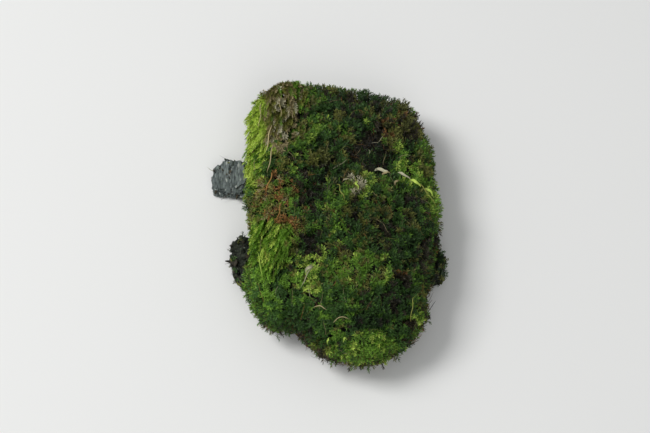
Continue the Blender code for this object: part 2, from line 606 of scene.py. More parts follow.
def add_node(
    tree: bpy.types.ShaderNodeTree,
    kind: str,
    links: dict[str | int, object] | None = None,
    stops: list[tuple[float, str]] | None = None,
    **settings: object,
) -> bpy.types.ShaderNode:
    """Adds a node with its settings and links.

    Args:
        tree: The material's nodes.
        kind: Blender's name for the node, without "ShaderNode".
        links: For each input, the value it holds, or the socket that feeds it, or the node whose
            first output does.
        stops: Places and sRGB colours of a colour ramp.
        **settings: The node's own properties.

    Returns:
        The new node.
    """
    node = tree.nodes.new("ShaderNode" + kind)
    for name, value in settings.items():
        setattr(node, name, value)
    for name, value in (links or {}).items():
        if isinstance(value, bpy.types.ShaderNode):
            value = value.outputs[0]
        if isinstance(value, bpy.types.NodeSocket):
            tree.links.new(value, node.inputs[name])
        else:
            node.inputs[name].default_value = value
    if stops:
        ramp = node.color_ramp
        while len(ramp.elements) < len(stops):
            ramp.elements.new(1.0)
        for element, (place, colour) in zip(ramp.elements, stops):
            element.position = place
            element.color = linear(colour)
    return node


class Dressing:
    """A material that is being made: its shader and the nodes that feed it."""

    def __init__(self, name: str) -> None:
        """Starts the material with only its Principled shader.

        Args:
            name: The material's name.
        """
        self.material = bpy.data.materials.new(name)
        self.material.use_nodes = True
        self.tree = self.material.node_tree
        self.shader = self.tree.nodes["Principled BSDF"]
        self.add = partial(add_node, self.tree)

    def feed(self, **sources: bpy.types.ShaderNode) -> None:
        """Links nodes to the shader.

        Args:
            **sources: The node whose first output feeds each input, which is named with _ for a space.
        """
        for name, node in sources.items():
            self.tree.links.new(node.outputs[0], self.shader.inputs[name.replace("_", " ")])

    def hold(self, **values: object) -> None:
        """Sets the shader's own values.

        Args:
            **values: The value of each input, which is named with _ for a space.
        """
        for name, value in values.items():
            self.shader.inputs[name.replace("_", " ")].default_value = value


@dataclass(frozen=True)
class LeafFinish:
    """Moss leaf: one layer of cells, grown, so it is smooth and a little glossy. Real leaves are lit
    through; this material lets no light through and paints some of it into the tips instead.

    Each leaf lies on a swatch of the chart. The swatch gives its colour, a paler midrib, a darker
    base, and a lighter tip, which is partly the youngest blade's own paler colour and partly painted
    light shining through the thin blade.
    """

    name: str = "moss_leaf"
    roughness: float = 0.48
    ior: float = 1.42  # wet plant cell wall
    base_darkness: float = 0.50
    base_end: float = 0.6  # where along the leaf the darker base ends
    young_and_lit_through_tip_start: float = 0.55  # where along the leaf the lighter tip starts: young colour and painted light through the blade
    # how much lighter the tip is: partly young colour, partly painted light shining through it
    young_and_lit_through_tip_lift: float = 0.26
    rib_lift: float = 0.16
    rib_width: float = 0.10  # share of the blade
    cell_rows: float = 9.0  # rows of cells across a blade, drawn coarser than the real 20
    cell_shade: tuple[float, float] = (0.72, 1.26)  # how dark and how light cells are
    cell_height: float = 0.03 * MM
    bump: float = 0.25

    def build(self) -> bpy.types.Material:
        """Makes the material.

        Returns:
            The material.
        """
        dressing = Dressing(self.name)
        add = dressing.add
        place = add("UVMap", uv_map=CHART)
        parts = add("SeparateXYZ", {"Vector": place})
        columns = add("Math", {0: parts.outputs["X"], 1: CHART_SHADES}, operation="MULTIPLY")
        rows = add("Math", {0: parts.outputs["Y"], 1: len(Hue)}, operation="MULTIPLY")
        column = add("Math", {0: columns}, operation="FLOOR")
        across = add("Math", {0: columns}, operation="FRACT")
        along = add("Math", {0: rows}, operation="FRACT")
        shade = add("Math", {0: column, 1: CHART_SHADES - 1}, operation="DIVIDE")
        order = sorted(CHART_COLOURS, key=lambda hue: hue.value)
        families = []
        for end in (0, 1):
            stops = [(hue.value / len(Hue), CHART_COLOURS[hue][end]) for hue in order]
            families.append(add("ValToRGB", {"Fac": parts.outputs["Y"]}, stops))
            families[-1].color_ramp.interpolation = "CONSTANT"
        body = add("Mix", {0: shade, 6: families[0], 7: families[1]}, data_type="RGBA")
        rise = add(
            "MapRange",
            {"Value": along, "From Max": self.base_end, "To Min": self.base_darkness, "To Max": 1.0},
            interpolation_type="SMOOTHSTEP",
        )
        cells = add(
            "TexNoise", {"Vector": place, "Scale": CHART_SHADES * self.cell_rows, "Detail": 2.0}
        )
        darkest, lightest = self.cell_shade
        speckle = add("MapRange", {"Value": cells, "To Min": darkest, "To Max": lightest})
        dimmed = add("Math", {0: rise, 1: speckle}, operation="MULTIPLY")
        off_rib = add("Math", {0: across, 1: 0.5}, operation="SUBTRACT")
        beside = add("Math", {0: off_rib}, operation="ABSOLUTE")
        rib = add(
            "MapRange",
            {"Value": beside, "From Max": self.rib_width, "To Min": 1 + self.rib_lift, "To Max": 1.0},
        )
        # The lighter tip: partly young colour, partly painted light shining through the thin blade.
        tip = add(
            "MapRange",
            {"Value": along, "From Min": self.young_and_lit_through_tip_start, "To Min": 1.0, "To Max": 1 + self.young_and_lit_through_tip_lift},
        )
        lifted = add("Math", {0: rib, 1: tip}, operation="MULTIPLY")
        light = add("Math", {0: dimmed, 1: lifted}, operation="MULTIPLY")
        lit = add("VectorMath", {0: body.outputs[2], "Scale": light}, operation="SCALE")
        dull = add(
            "MapRange",
            {"Value": cells, "To Min": self.roughness - 0.1, "To Max": self.roughness + 0.2},
        )
        relief = add("Math", {0: rib, 1: cells}, operation="ADD")
        bump = add("Bump", {"Strength": self.bump, "Distance": self.cell_height, "Height": relief})
        dressing.feed(Base_Color=lit, Roughness=dull, Normal=bump)
        dressing.hold(IOR=self.ior)
        return dressing.material


@dataclass(frozen=True)
class GroundFinish:
    """Humus and other decayed matter: broken down by rot, so it is crumbly, dark and dull.

    Dark crumbs make most of it, with the gaps between them painted blacker as shade. Some crumbs
    are redder wood rot, and a few specks are pale grit or threads of fungus, which catch the eye.
    """

    name: str
    dark: str
    middle: str
    light: str
    speck: str
    crumb_mm: float  # width of a crumb
    stain_mm: float  # width of a patch of one tone
    specks: float = 0.06  # share of crumbs that are pale
    roughness: float = 0.92
    depth_mm: float = 0.35  # height of a crumb in the bump
    bump: float = 0.9
    shaded_gap_light: float = 0.35  # how light the painted shade leaves the gaps between crumbs, beside the crumbs
    gap: tuple[float, float] = (0.35, 0.85)  # where the gap and its painted shade start and end, from a crumb's middle
    shake: float = 0.5  # how far crumbs are pushed out of shape, as a share of their width
    own_tone: float = 0.45  # how much tone differs from crumb to crumb, beside the stains
    tones: tuple[float, float, float] = (0.30, 0.62, 0.95)  # tones of the three colours
    grain: tuple[float, float, float] = (1.0, 1.0, 1.0)  # less than 1 draws the crumbs out that way

    def build(self) -> bpy.types.Material:
        """Makes the material.

        Returns:
            The material.
        """
        dressing = Dressing(self.name)
        add = dressing.add
        crumb = self.crumb_mm * MM
        where = add("TexCoord").outputs["Object"]
        place = add("VectorMath", {0: where, 1: self.grain}, operation="MULTIPLY")
        stain = add(
            "TexNoise",
            {"Vector": place, "Scale": 1 / (self.stain_mm * MM), "Detail": 4.0, "Roughness": 0.62},
        )
        warp = add("TexNoise", {"Vector": place, "Scale": 1 / (0.6 * crumb), "Detail": 2.0})
        shaken = add(
            "VectorMath",
            {0: warp.outputs["Color"], 1: (self.shake * crumb,) * 3, 2: place},
            operation="MULTIPLY_ADD",
        )
        crumbs = add("TexVoronoi", {"Vector": shaken, "Scale": 1 / crumb, "Randomness": 1.0})
        own = add("SeparateColor", {"Color": crumbs.outputs["Color"]})
        tone = add("Math", {0: own.outputs["Red"], 1: self.own_tone, 2: stain}, operation="MULTIPLY_ADD")
        colours = list(zip(self.tones, (self.dark, self.middle, self.light)))
        colour = add("ValToRGB", {"Fac": tone}, colours)
        is_speck = add("Math", {0: own.outputs["Green"], 1: 1 - self.specks}, operation="GREATER_THAN")
        speckled = add("Mix", {0: is_speck, 6: colour, 7: linear(self.speck)}, data_type="RGBA")
        # The gaps between crumbs: sunk in the bump and painted darker as shade.
        start, end = self.gap
        gap = add(
            "MapRange",
            {"Value": crumbs, "From Min": start, "From Max": end, "To Min": 1.0, "To Max": self.shaded_gap_light},
        )
        shown = add("VectorMath", {0: speckled.outputs[2], "Scale": gap}, operation="SCALE")
        bump = add("Bump", {"Strength": self.bump, "Distance": self.depth_mm * MM, "Height": gap})
        glossiest, dullest = self.roughness - 0.14, min(1.0, self.roughness + 0.08)
        dull = add("MapRange", {"Value": stain, "To Min": glossiest, "To Max": dullest})
        dressing.feed(Base_Color=shown, Normal=bump, Roughness=dull)
        return dressing.material


@dataclass(frozen=True)
class FloorFinish:
    """Matt white card under soft light, nearly featureless."""

    name: str = "white_card"
    colour: str = "#EFEFED"
    roughness: float = 0.85

    def build(self) -> bpy.types.Material:
        """Makes the material.

        Returns:
            The material.
        """
        dressing = Dressing(self.name)
        dressing.hold(Base_Color=linear(self.colour), Roughness=self.roughness)
        return dressing.material


DRY_MATTER = LeafFinish(
    "dry_plant_matter",
    roughness=0.7,
    ior=1.45,
    base_darkness=0.8,
    young_and_lit_through_tip_lift=0.0,
    rib_lift=0.05,
    bump=0.5,
)
# Near black: partly the decayed moss's own colour, partly painted shade deep in the turf between shoots.
DECAYED_MOSS_AND_SHADE = GroundFinish(
    "decayed_moss_and_shade", "#080905", "#15170A", "#2A2A14", "#3E3C20", crumb_mm=0.7, stain_mm=5.0, specks=0.04
)
HUMUS = GroundFinish(
    "humus", "#0C0A07", "#231B13", "#3E3122", "#6E6650", crumb_mm=1.0, stain_mm=6.0, specks=0.05
)
BLACK_HUMUS = GroundFinish(
    "black_humus", "#0C0F0A", "#20261A", "#384030", "#6F7766", crumb_mm=0.8, stain_mm=4.0, specks=0.03
)
ROTTEN_BARK = GroundFinish(
    "rotten_bark",
    "#3A4140",
    "#5C6563",
    "#7C8582",
    "#A4AAA3",
    crumb_mm=0.5,
    stain_mm=3.0,
    specks=0.05,
    depth_mm=0.2,
    shaded_gap_light=0.6,
    grain=(1.0, 0.3, 1.0),
)


# ------------------------------------------------------------------ how the turf grows


@dataclass(frozen=True)
class Habit:
    """How one kind of moss shoot is built. Lengths are in millimetres."""

    length: float
    leaf_length: float
    leaf_width: float
    leaf_pitch: float  # from one leaf to the next along the stem
    leafy_share: float  # how much of the shoot has leaves
    spread_low: float  # angle of the lowest leaves to the stem, in degrees
    spread_tip: float  # the same at the tip
    curl: float
    crisp: float  # how far withering has twisted the leaves out of their places
    lean: float  # how far the local lie of the turf bends the shoot


class Growth(Enum):
    """The kinds of shoot that grow on the clump."""

    TUFTED = Habit(6.5, 1.40, 0.44, 0.21, 0.72, 62, 16, 0.18, 0.14, 0.7)
    COMBED = Habit(11.5, 1.75, 0.34, 0.27, 0.86, 24, 7, 0.12, 0.09, 1.9)
    WITHERED = Habit(6.0, 1.40, 0.34, 0.22, 0.78, 46, 22, 0.55, 0.42, 0.9)
    SPRIG = Habit(2.6, 1.15, 0.38, 0.20, 0.9, 58, 20, 0.25, 0.22, 0.0)

    @property
    def number(self) -> int:
        """Its place among the kinds."""
        return list(Growth).index(self)


@dataclass(frozen=True)
class Patch:
    """An oval patch of the turf that has its own growth, shade and colours. In millimetres."""

    centre: tuple[float, float]
    radii: tuple[float, float]
    shade: float
    mix: dict[Hue, float]
    lie: tuple[float, float] = (0.0, 0.0)  # which way its shoots are combed, seen from above
    growth: Growth = Growth.TUFTED
    sink: float = 0.0  # how far its tips stop short of the turf's outer shape
    turn: float = 0.0  # of the oval, in degrees

    def cover(self, places: np.ndarray) -> np.ndarray:
        """How much each place belongs to the patch.

        Args:
            places: Places in millimetres.

        Returns:
            Shares from 0 outside it to 1 inside.
        """
        angle = math.radians(self.turn)
        x, y = places[:, 0] - self.centre[0], places[:, 1] - self.centre[1]
        a = (x * math.cos(angle) + y * math.sin(angle)) / self.radii[0]
        b = (y * math.cos(angle) - x * math.sin(angle)) / self.radii[1]
        return 1 - ease(np.hypot(a, b), 0.7, 1.15)


def shares_of(mix: dict[Hue, float]) -> np.ndarray:
    """The share of each family of colour in a mix, in the order of the chart's rows."""
    return np.array([mix.get(hue, 0.0) for hue in Hue])


OLD_MIX = {Hue.DEAD: 0.40, Hue.OLIVE: 0.28, Hue.RUST: 0.12, Hue.DEEP: 0.20}  # the growth at the foot

EVERYWHERE = Patch(
    (0, 0),
    (99, 99),
    0.42,
    {Hue.DEEP: 0.40, Hue.FRESH: 0.24, Hue.OLIVE: 0.24, Hue.DEAD: 0.07, Hue.LIME: 0.05},
)

PATCHES = [
    Patch((17, 33), (11, 11), 0.40, {Hue.OLIVE: 0.50, Hue.DEAD: 0.25, Hue.RUST: 0.1, Hue.FRESH: 0.15}),
    Patch((4, 36), (13, 9), 0.34, {Hue.DEEP: 0.50, Hue.OLIVE: 0.30, Hue.DEAD: 0.2}),
    Patch((-3, 15), (9, 11), 0.34, {Hue.DEEP: 0.45, Hue.OLIVE: 0.35, Hue.FRESH: 0.12, Hue.DEAD: 0.08}),
    # Darker right side: deep green moss, darkened further by painted shade on the side away from the key
    # light.
    Patch((22, -8), (11, 17), 0.32, {Hue.DEEP: 0.62, Hue.FRESH: 0.14, Hue.DEAD: 0.12, Hue.OLIVE: 0.12}),
    Patch((8, -10), (9, 10), 0.35, {Hue.DEEP: 0.50, Hue.OLIVE: 0.28, Hue.FRESH: 0.12, Hue.DEAD: 0.1}),
    Patch((5, -25), (10, 6), 0.46, {Hue.OLIVE: 0.42, Hue.LIME: 0.12, Hue.FRESH: 0.46}),
    Patch((-6, -35), (12, 8), 0.50, {Hue.DEEP: 0.70, Hue.FRESH: 0.30}),
    Patch((14, -37), (12, 8), 0.32, {Hue.DEEP: 0.62, Hue.DEAD: 0.16, Hue.FRESH: 0.22}),
    Patch((9, -50), (20, 6.5), 0.55, {Hue.FRESH: 0.70, Hue.LIME: 0.16, Hue.DEEP: 0.14}, (0.2, -1)),
    Patch((25, -41), (5, 6), 0.54, {Hue.FRESH: 0.6, Hue.LIME: 0.2, Hue.DEEP: 0.2}, (0.8, -0.6)),
    Patch((-25, -30), (8, 8), 0.70, {Hue.DEEP: 0.48, Hue.FRESH: 0.52}, (-0.5, -0.8)),
    Patch((-21, -38), (6, 3.5), 0.42, {Hue.DEEP: 0.8, Hue.FRESH: 0.2}, (0.1, -0.6), sink=-1.0),
    Patch((-13, -42), (4, 6), 0.30, {Hue.DEEP: 0.75, Hue.DEAD: 0.25}, turn=30),
    Patch(
        (-23, -15),
        (9, 15),
        0.85,
        {Hue.FRESH: 0.66, Hue.LIME: 0.26, Hue.DEEP: 0.08},
        (-0.08, -1),
        Growth.COMBED,
    ),
    Patch((-10, -25), (4, 7), 0.74, {Hue.FRESH: 0.62, Hue.LIME: 0.28, Hue.OLIVE: 0.10}, (-0.2, -0.8)),
    # Withered, combed moss at the upper left: tan and bleached, and made paler still by a painted
    # highlight over it.
    Patch(
        (-22, 34),
        (9, 18),
        0.76,
        {Hue.OLIVE: 0.40, Hue.TAN: 0.34, Hue.FRESH: 0.14, Hue.BLEACHED: 0.12},
        (0.1, -1),
        Growth.COMBED,
        turn=-4,
    ),
    Patch(
        (-22.5, 2.5),
        (9.5, 8.5),
        0.62,
        {Hue.RUST: 0.27, Hue.OLIVE: 0.38, Hue.TAN: 0.14, Hue.DEAD: 0.05, Hue.FRESH: 0.16},
        (0.1, -0.8),
        Growth.WITHERED,
        0.2,
        -25,
    ),
    Patch(
        (-16, -6),
        (4.5, 4.5),
        0.60,
        {Hue.RUST: 0.5, Hue.DEAD: 0.1, Hue.OLIVE: 0.4},
        growth=Growth.WITHERED,
        sink=0.3,
    ),
    # Bright lime edge of the left flank: lime moss, made brighter still by painted light on the side
    # facing the key light.
    Patch(
        (-30.5, 26),
        (6.5, 20),
        1.0,
        {Hue.LIME: 0.88, Hue.FRESH: 0.12},
        (-0.15, -1),
        Growth.COMBED,
    ),
    # A deep hollow: sunk, with dead stems in it, and darker still by the painted shade inside it.
    Patch(
        (9.5, 18),
        (7.5, 10),
        0.16,
        {Hue.DEAD: 0.5, Hue.DEEP: 0.5},
        growth=Growth.WITHERED,
        sink=3.4,
        turn=15,
    ),
    # Smaller sunk holes: dead stems, painted darker as the shade inside them.
    Patch((-9, 2), (4.5, 4), 0.28, {Hue.DEAD: 0.4, Hue.RUST: 0.1, Hue.DEEP: 0.5}, sink=1.2),
    Patch((-9, -14), (4, 5), 0.26, {Hue.DEAD: 0.4, Hue.DEEP: 0.6}, sink=1.4),
    Patch((19, -28), (5, 4), 0.34, {Hue.DEAD: 0.6, Hue.RUST: 0.1, Hue.DEEP: 0.3}, sink=0.8),
    Patch((20, 11), (5, 4.5), 0.60, {Hue.LIME: 0.36, Hue.FRESH: 0.64}),
    Patch((29, 5), (5, 9), 0.62, {Hue.FRESH: 0.7, Hue.LIME: 0.2, Hue.DEEP: 0.1}, (0.8, -0.3)),
    Patch((-12, 25), (4, 5), 0.50, {Hue.FRESH: 0.55, Hue.OLIVE: 0.35, Hue.LIME: 0.10}),
    Patch((-1.5, -9), (2.5, 3), 0.66, {Hue.LIME: 0.45, Hue.BLEACHED: 0.15, Hue.FRESH: 0.4}),
    Patch(
        (2.5, 4), (4, 3.5), 0.54, {Hue.LIME: 0.12, Hue.BLEACHED: 0.20, Hue.FRESH: 0.33, Hue.OLIVE: 0.35}
    ),
]


YOUNG_SIZE = 0.55  # of the leaf at a shoot's tip, as a share of a grown one
YOUNG_LIFT = 0.10  # how much lighter it is
AGEING = 0.22  # how much darker the oldest leaf is
ODD_WAY = np.array([0.31, 0.87, 0.38])  # a direction that shoots don't grow in


@dataclass
class Shoots:
    """Moss shoots, one a row."""

    tip: np.ndarray
    bend: np.ndarray  # where the lines that leave its root and its tip would meet
    root: np.ndarray
    shade: np.ndarray
    hue: np.ndarray
    growth: np.ndarray  # number of the kind in Growth

    def take(self, rows: np.ndarray) -> "Shoots":
        """Some of the shoots.

        Args:
            rows: Which to take.

        Returns:
            Those shoots.
        """
        return Shoots(*(getattr(self, name)[rows] for name in self.__dataclass_fields__))

    def at(self, row: np.ndarray, share: np.ndarray) -> np.ndarray:
        """Places along the shoots, which bend evenly from root to tip.

        Args:
            row: Which shoot each place is on.
            share: From 0 at its root to 1 at its tip.

        Returns:
            The places.
        """
        share = share[:, None]
        return (
            (1 - share) ** 2 * self.root[row]
            + 2 * share * (1 - share) * self.bend[row]
            + share**2 * self.tip[row]
        )

    def heading(self, row: np.ndarray, share: np.ndarray) -> np.ndarray:
        """Directions along the shoots, for the same row and share as in at."""
        share, bend = share[:, None], self.bend[row]
        return unit((1 - share) * (bend - self.root[row]) + share * (self.tip[row] - bend))

    def add_leaves(self, soup: Soup, rng: np.random.Generator) -> None:
        """Sets leaves round the shoots, in the spiral that each kind has.

        Args:
            soup: Takes the leaves.
            rng: Random source.
        """
        for number, growth in enumerate(Growth):
            habit = growth.value
            mine = np.flatnonzero(self.growth == number)
            if not len(mine):
                continue
            per_shoot = int(habit.length * habit.leafy_share / habit.leaf_pitch)
            row = np.repeat(mine, per_shoot)
            count = len(row)
            order = np.tile(np.arange(per_shoot), len(mine))  # 0 is the youngest, at the tip
            back = order / per_shoot
            share = 1 - habit.leafy_share * (order + rng.uniform(0, 0.8, count)) / per_shoot
            ahead = self.heading(row, share)
            start = rng.uniform(0, math.tau, len(self.tip))[row]
            turn = start + GOLDEN_TURN * order + rng.normal(0, 0.25, count)
            first = unit(np.cross(ahead, ODD_WAY))
            second = np.cross(ahead, first)
            out = first * np.cos(turn)[:, None] + second * np.sin(turn)[:, None]
            spread = habit.spread_tip + (habit.spread_low - habit.spread_tip) * ease(back, 0.0, 0.55)
            spread = np.radians(spread * rng.uniform(0.8, 1.2, count))
            along = ahead * np.cos(spread)[:, None] + out * np.sin(spread)[:, None]
            along = unit(along + rng.normal(0, habit.crisp, along.shape))
            grown = YOUNG_SIZE + (1 - YOUNG_SIZE) * ease(back, 0.0, 0.25)
            size = rng.uniform(0.85, 1.15, count) * grown
            aged = self.shade[row] - AGEING * back + YOUNG_LIFT * (1 - ease(back, 0.0, 0.2))
            leaves(
                soup,
                self.at(row, share),
                along,
                unit(np.cross(along, out) + 1e-6),
                habit.leaf_length * MM * size,
                habit.leaf_width * MM * size,
                habit.curl * rng.uniform(0.3, 1.7, count),
                self.hue[row],
                np.clip(aged + rng.normal(0, 0.06, count), 0, 0.999),
            )


@dataclass
class Turf:
    """The living moss: its shoots in tufts, and the decayed layer that they stand in."""

    form: Form
    leaf: bpy.types.Material
    # the decayed layer's material, near black partly as painted shade
    bed_and_shade: bpy.types.Material
    spacing: float = 1.0 * MM  # between shoots
    tuft_spacing: float = 3.4 * MM
    tuft_gap: float = 1.2 * MM  # depth of the gaps between tufts
    tuft_rise: float = 1.3 * MM  # how far tufts differ in height
    tuft_spread: float = 0.6  # how far a tuft's tips fan out
    lowest_tip: float = 0.8 * MM  # over the floor, and over the foot where the skin has places
    shoot_uneven: float = 0.25 * MM  # how far tips stop short by chance
    tuft_shade: float = 0.22  # how much tufts differ in shade
    shoot_shade: float = 0.09  # the same for shoots
    outward_share: float = 0.62  # how far shoots stand square to the turf's skin, beside upright
    low_droop: float = 0.9  # how far the lowest shoots bend down
    tuft_lean: float = 0.22
    shoot_lean: float = 0.13
    low_band: float = 3.0 * MM  # height over the foot where old brown growth shows
    hanging_share: float = 0.8  # of the lowest shoots, which hang over the mat's rim
    hang: tuple[float, float] = (0.3, 5.0)  # how far they hang, in millimetres
    root_depth: float = 1.8 * MM  # how deep under the skin roots are at least
    bend_depth: float = 0.4 * MM  # the same for the shoots' bends
    old_shade: float = 0.36  # of the growth at the foot
    mottle: float = 0.12  # how much shade varies across the turf
    bed_depth: float = 5.0 * MM  # of the decayed layer under the tips
    bed_around: int = 220  # points round it
    bed_rings: int = 64
    bed_steep: int = 4  # how many of its rings make its side
    bed_relief: float = 0.7 * MM
    rest_reach: float = 1.6 * MM  # how far round it the tips carry a fallen straw
    far_from: float = 14 * MM  # where along the clump its far and near shoots become other pieces
    near_to: float = -18 * MM
    bare_height: float = 9 * MM  # over the foot, where stems show
    stem_steps: int = 5
    stem_mix: tuple[tuple[Hue, float], ...] = ((Hue.RUST, 0.45), (Hue.DEAD, 0.30), (Hue.OLIVE, 0.25))
    seed: int = 12

    def __post_init__(self) -> None:
        """Settles where the shoots stand and how each of them grows."""
        self.rng = np.random.default_rng(self.seed)
        self.shoots = self.plant()

    def plant(self) -> Shoots:
        """Plants the shoots in tufts.

        Returns:
            The shoots.
        """
        rng = self.rng
        foot = self.form.low[2]
        places, outward = self.form.scatter(self.spacing, foot + self.lowest_tip, rng)
        count = len(places)
        tufts, _ = self.form.scatter(self.tuft_spacing, foot + self.lowest_tip, rng)
        tree = KDTree(len(tufts))
        for number, tuft in enumerate(tufts):
            tree.insert(tuft, number)
        tree.balance()
        nearest = [tree.find_n(place, 2) for place in places]
        tuft = np.array([found[0][1] for found in nearest])
        near, next_near = (np.array([found[i][2] for found in nearest]) for i in (0, 1))
        inside = ease((next_near - near) / (next_near + near), 0.0, 0.5)

        own = rng.random((count, 3))
        of_tuft = rng.random((len(tufts), 4))[tuft]
        shade, mix, lie, kind, sink = self.local_growth(places, own[:, 0])

        drawn = np.where(own[:, 1] < 0.5, of_tuft[:, 0], own[:, 2])
        hue = (np.cumsum(mix, axis=1) < drawn[:, None]).sum(axis=1).clip(0, len(Hue) - 1)
        shade = shade + self.tuft_shade * (of_tuft[:, 1] - 0.5) + rng.normal(0, self.shoot_shade, count)

        depth = self.tuft_gap * (1 - inside) + self.tuft_rise * (of_tuft[:, 2] ** 1.5 - 0.25)
        depth += sink * MM + rng.exponential(self.shoot_uneven, count)
        habits = [growth.value for growth in Growth]
        length = np.array([habit.length for habit in habits])[kind] * MM * rng.uniform(0.8, 1.2, count)
        lean = np.array([habit.lean for habit in habits])[kind]

        low = 1 - ease(places[:, 2] - foot, 0.4 * self.low_band, 1.2 * self.low_band)
        fan = (places - tufts[tuft]) / self.tuft_spacing
        stray = rng.normal(0, self.shoot_lean, (count, 3))
        tuft_lean = rng.normal(0, self.tuft_lean, (len(tufts), 3))[tuft]
        up_share = 1 - self.outward_share - self.low_droop * low
        upright = self.outward_share * outward + up_share[:, None] * UP
        bent = upright + tuft_lean + stray + fan * self.tuft_spread + lie * lean[:, None]
        leaning = upright + 0.5 * tuft_lean + 0.6 * lie * lean[:, None]
        tip = places - outward * depth[:, None]
        hangs = low * (rng.random(count) < self.hanging_share) * rng.uniform(*self.hang, count) * MM
        tip[:, 2] = np.maximum(tip[:, 2] - hangs, self.lowest_tip)
        root = self.form.inside(tip - unit(leaning) * length[:, None], self.root_depth)
        bend = self.form.inside(tip - unit(bent) * (0.5 * length[:, None]), self.bend_depth)
        return Shoots(tip, bend, root, shade, hue, kind)

    def local_growth(
        self, places: np.ndarray, chance: np.ndarray
    ) -> tuple[np.ndarray, np.ndarray, np.ndarray, np.ndarray, np.ndarray]:
        """Reads the patches that each shoot stands in.

        Args:
            places: Where the shoots end, in metres.
            chance: A number from 0 to 1 for each, which decides its kind near a patch's edge.

        Returns:
            Shade, mix of hues, lie, number of the kind, and sink in millimetres.
        """
        at = places / MM
        shaken = at.copy()
        for axis, (coarse, fine) in enumerate(((1.0, 2.0), (3.0, 4.0))):
            shaken[:, axis] += 4.0 * lumps(at, 9.0, coarse) + 1.8 * lumps(at, 3.5, fine)
        count = len(places)
        shade, sink = np.full(count, EVERYWHERE.shade), np.zeros(count)
        mix, lie = np.zeros((count, len(Hue))), np.zeros((count, 3))
        kind = np.zeros(count, int)
        for patch in (EVERYWHERE, *PATCHES):
            cover = patch.cover(shaken)
            mix += (shares_of(patch.mix) - mix) * cover[:, None]
            shade += (patch.shade - shade) * cover
            sink += (patch.sink - sink) * cover
            lie += (np.array([*patch.lie, 0.0]) - lie) * cover[:, None]
            kind = np.where(cover > chance, patch.growth.number, kind)
        low = 1 - ease(places[:, 2] - self.form.low[2], 0.3 * self.low_band, self.low_band)
        old = shares_of(OLD_MIX)
        mix += (old - mix) * (0.8 * low)[:, None]
        shade += (self.old_shade - shade) * 0.6 * low
        shade += self.mottle * lumps(at, 6.0, 5.0)
        return shade, mix, lie, kind, sink

    def rest_height(self, x: float, y: float) -> float | None:
        """Height at which something light lies on the shoots, or None beside the turf.

        Args:
            x: Place from left to right, in metres.
            y: Place along the clump, in metres.

        Returns:
            The height that most of the tips round that place stay under.
        """
        tips = self.shoots.tip
        near = tips[np.hypot(tips[:, 0] - x, tips[:, 1] - y) < self.rest_reach, 2]
        return float(np.percentile(near, 75)) if len(near) else None

    def build(self) -> list[bpy.types.Object]:
        """Makes the turf's pieces.

        Returns:
            The bed and the pieces of shoots.
        """
        y, kind = self.shoots.tip[:, 1], self.shoots.growth
        tufted = kind == Growth.TUFTED.number
        groups = {
            "tufted_shoots_far": tufted & (y > self.far_from),
            "tufted_shoots_middle": tufted & (y <= self.far_from) & (y > self.near_to),
            "tufted_shoots_near": tufted & (y <= self.near_to),
            "combed_shoots": kind == Growth.COMBED.number,
            "withered_shoots": kind == Growth.WITHERED.number,
        }
        made = [self.make_bed(), self.make_stems()]
        for name, chosen in groups.items():
            soup = Soup()
            self.shoots.take(np.flatnonzero(chosen)).add_leaves(soup, self.rng)
            made.append(soup.piece(name, self.leaf))
        for piece in made:
            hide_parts(self.form.node)
        return made

    def make_stems(self) -> bpy.types.Object:
        """Makes the brown stems that show at the turf's flanks and in its hollows.

        Returns:
            The piece.
        """
        shoots, steps = self.shoots, self.stem_steps
        low = shoots.tip[:, 2] < self.form.low[2] + self.bare_height
        mine = np.flatnonzero(low | (shoots.growth == Growth.WITHERED.number))
        row = np.repeat(mine, steps)
        share = np.tile(np.linspace(0, 0.97, steps), len(mine))
        paths = shoots.at(row, share).reshape(-1, steps, 3)
        radii = np.linspace(0.13, 0.07, steps) * MM * np.ones((len(mine), 1))
        hue = draw_hues(self.rng, self.stem_mix, len(mine))
        soup = Soup()
        strands(soup, paths, radii, hue, self.rng.uniform(0.2, 0.6, len(mine)))
        return soup.piece("shoot_stems", self.leaf)

    def make_bed(self) -> bpy.types.Object:
        """Makes the dark decayed layer inside the turf, which closes the gaps between shoots. Its near
        black is partly decayed moss and partly painted shade deep between the shoots.

        Returns:
            The piece: rings from its rim at the foot up its side and in to its middle.
        """
        around, rings, steep = self.bed_around, self.bed_rings, self.bed_steep
        foot = float(self.form.low[2])
        under = foot - 0.5 * MM
        points = []
        for ring in range(rings):
            for number in range(around):
                turn = math.tau * number / around
                ahead = Vector((math.cos(turn), math.sin(turn), 0.0))
                rim = self.form.reach(UP * (foot + 3 * MM), np.array(ahead)) - 0.85 * self.bed_depth
                share = min(1.0, (rings - ring) / (rings - steep))
                x, y = (ahead * rim * share).xy
                beside = [self.form.top(x + i * MM, y + j * MM) or foot for i in (-2, 2) for j in (-2, 2)]
                height = max(min(beside) - self.bed_depth, foot)
                if ring < steep:
                    height = under + (height - under) * ring / steep
                place = Vector((x, y, height))
                swell = noise.noise(place / (2.6 * MM)) + 0.6 * noise.noise(place / (0.9 * MM))
                points.append(place + (ahead if ring < steep else Vector(UP)) * (self.bed_relief * swell))
        points += [Vector((0, 0, under)), sum(points[-around:], Vector()) / around]
        return add_piece("decayed_and_shade_layer", np.array(points), closed_faces(rings, around), self.bed_and_shade)


# ------------------------------------------------------------------ dry strands on the turf


@dataclass(frozen=True)
class Straw:
    """One dry strand that lies on the turf. Its ends are places seen from above, in millimetres."""

    start: tuple[float, float]
    end: tuple[float, float]
    radius: float
    hue: Hue
    shade: float
    arch: float = 0.5  # how far its middle stands off the turf
    bow: float = 0.25  # how far its middle bends aside
    crook: float = 0.11  # how crooked it is


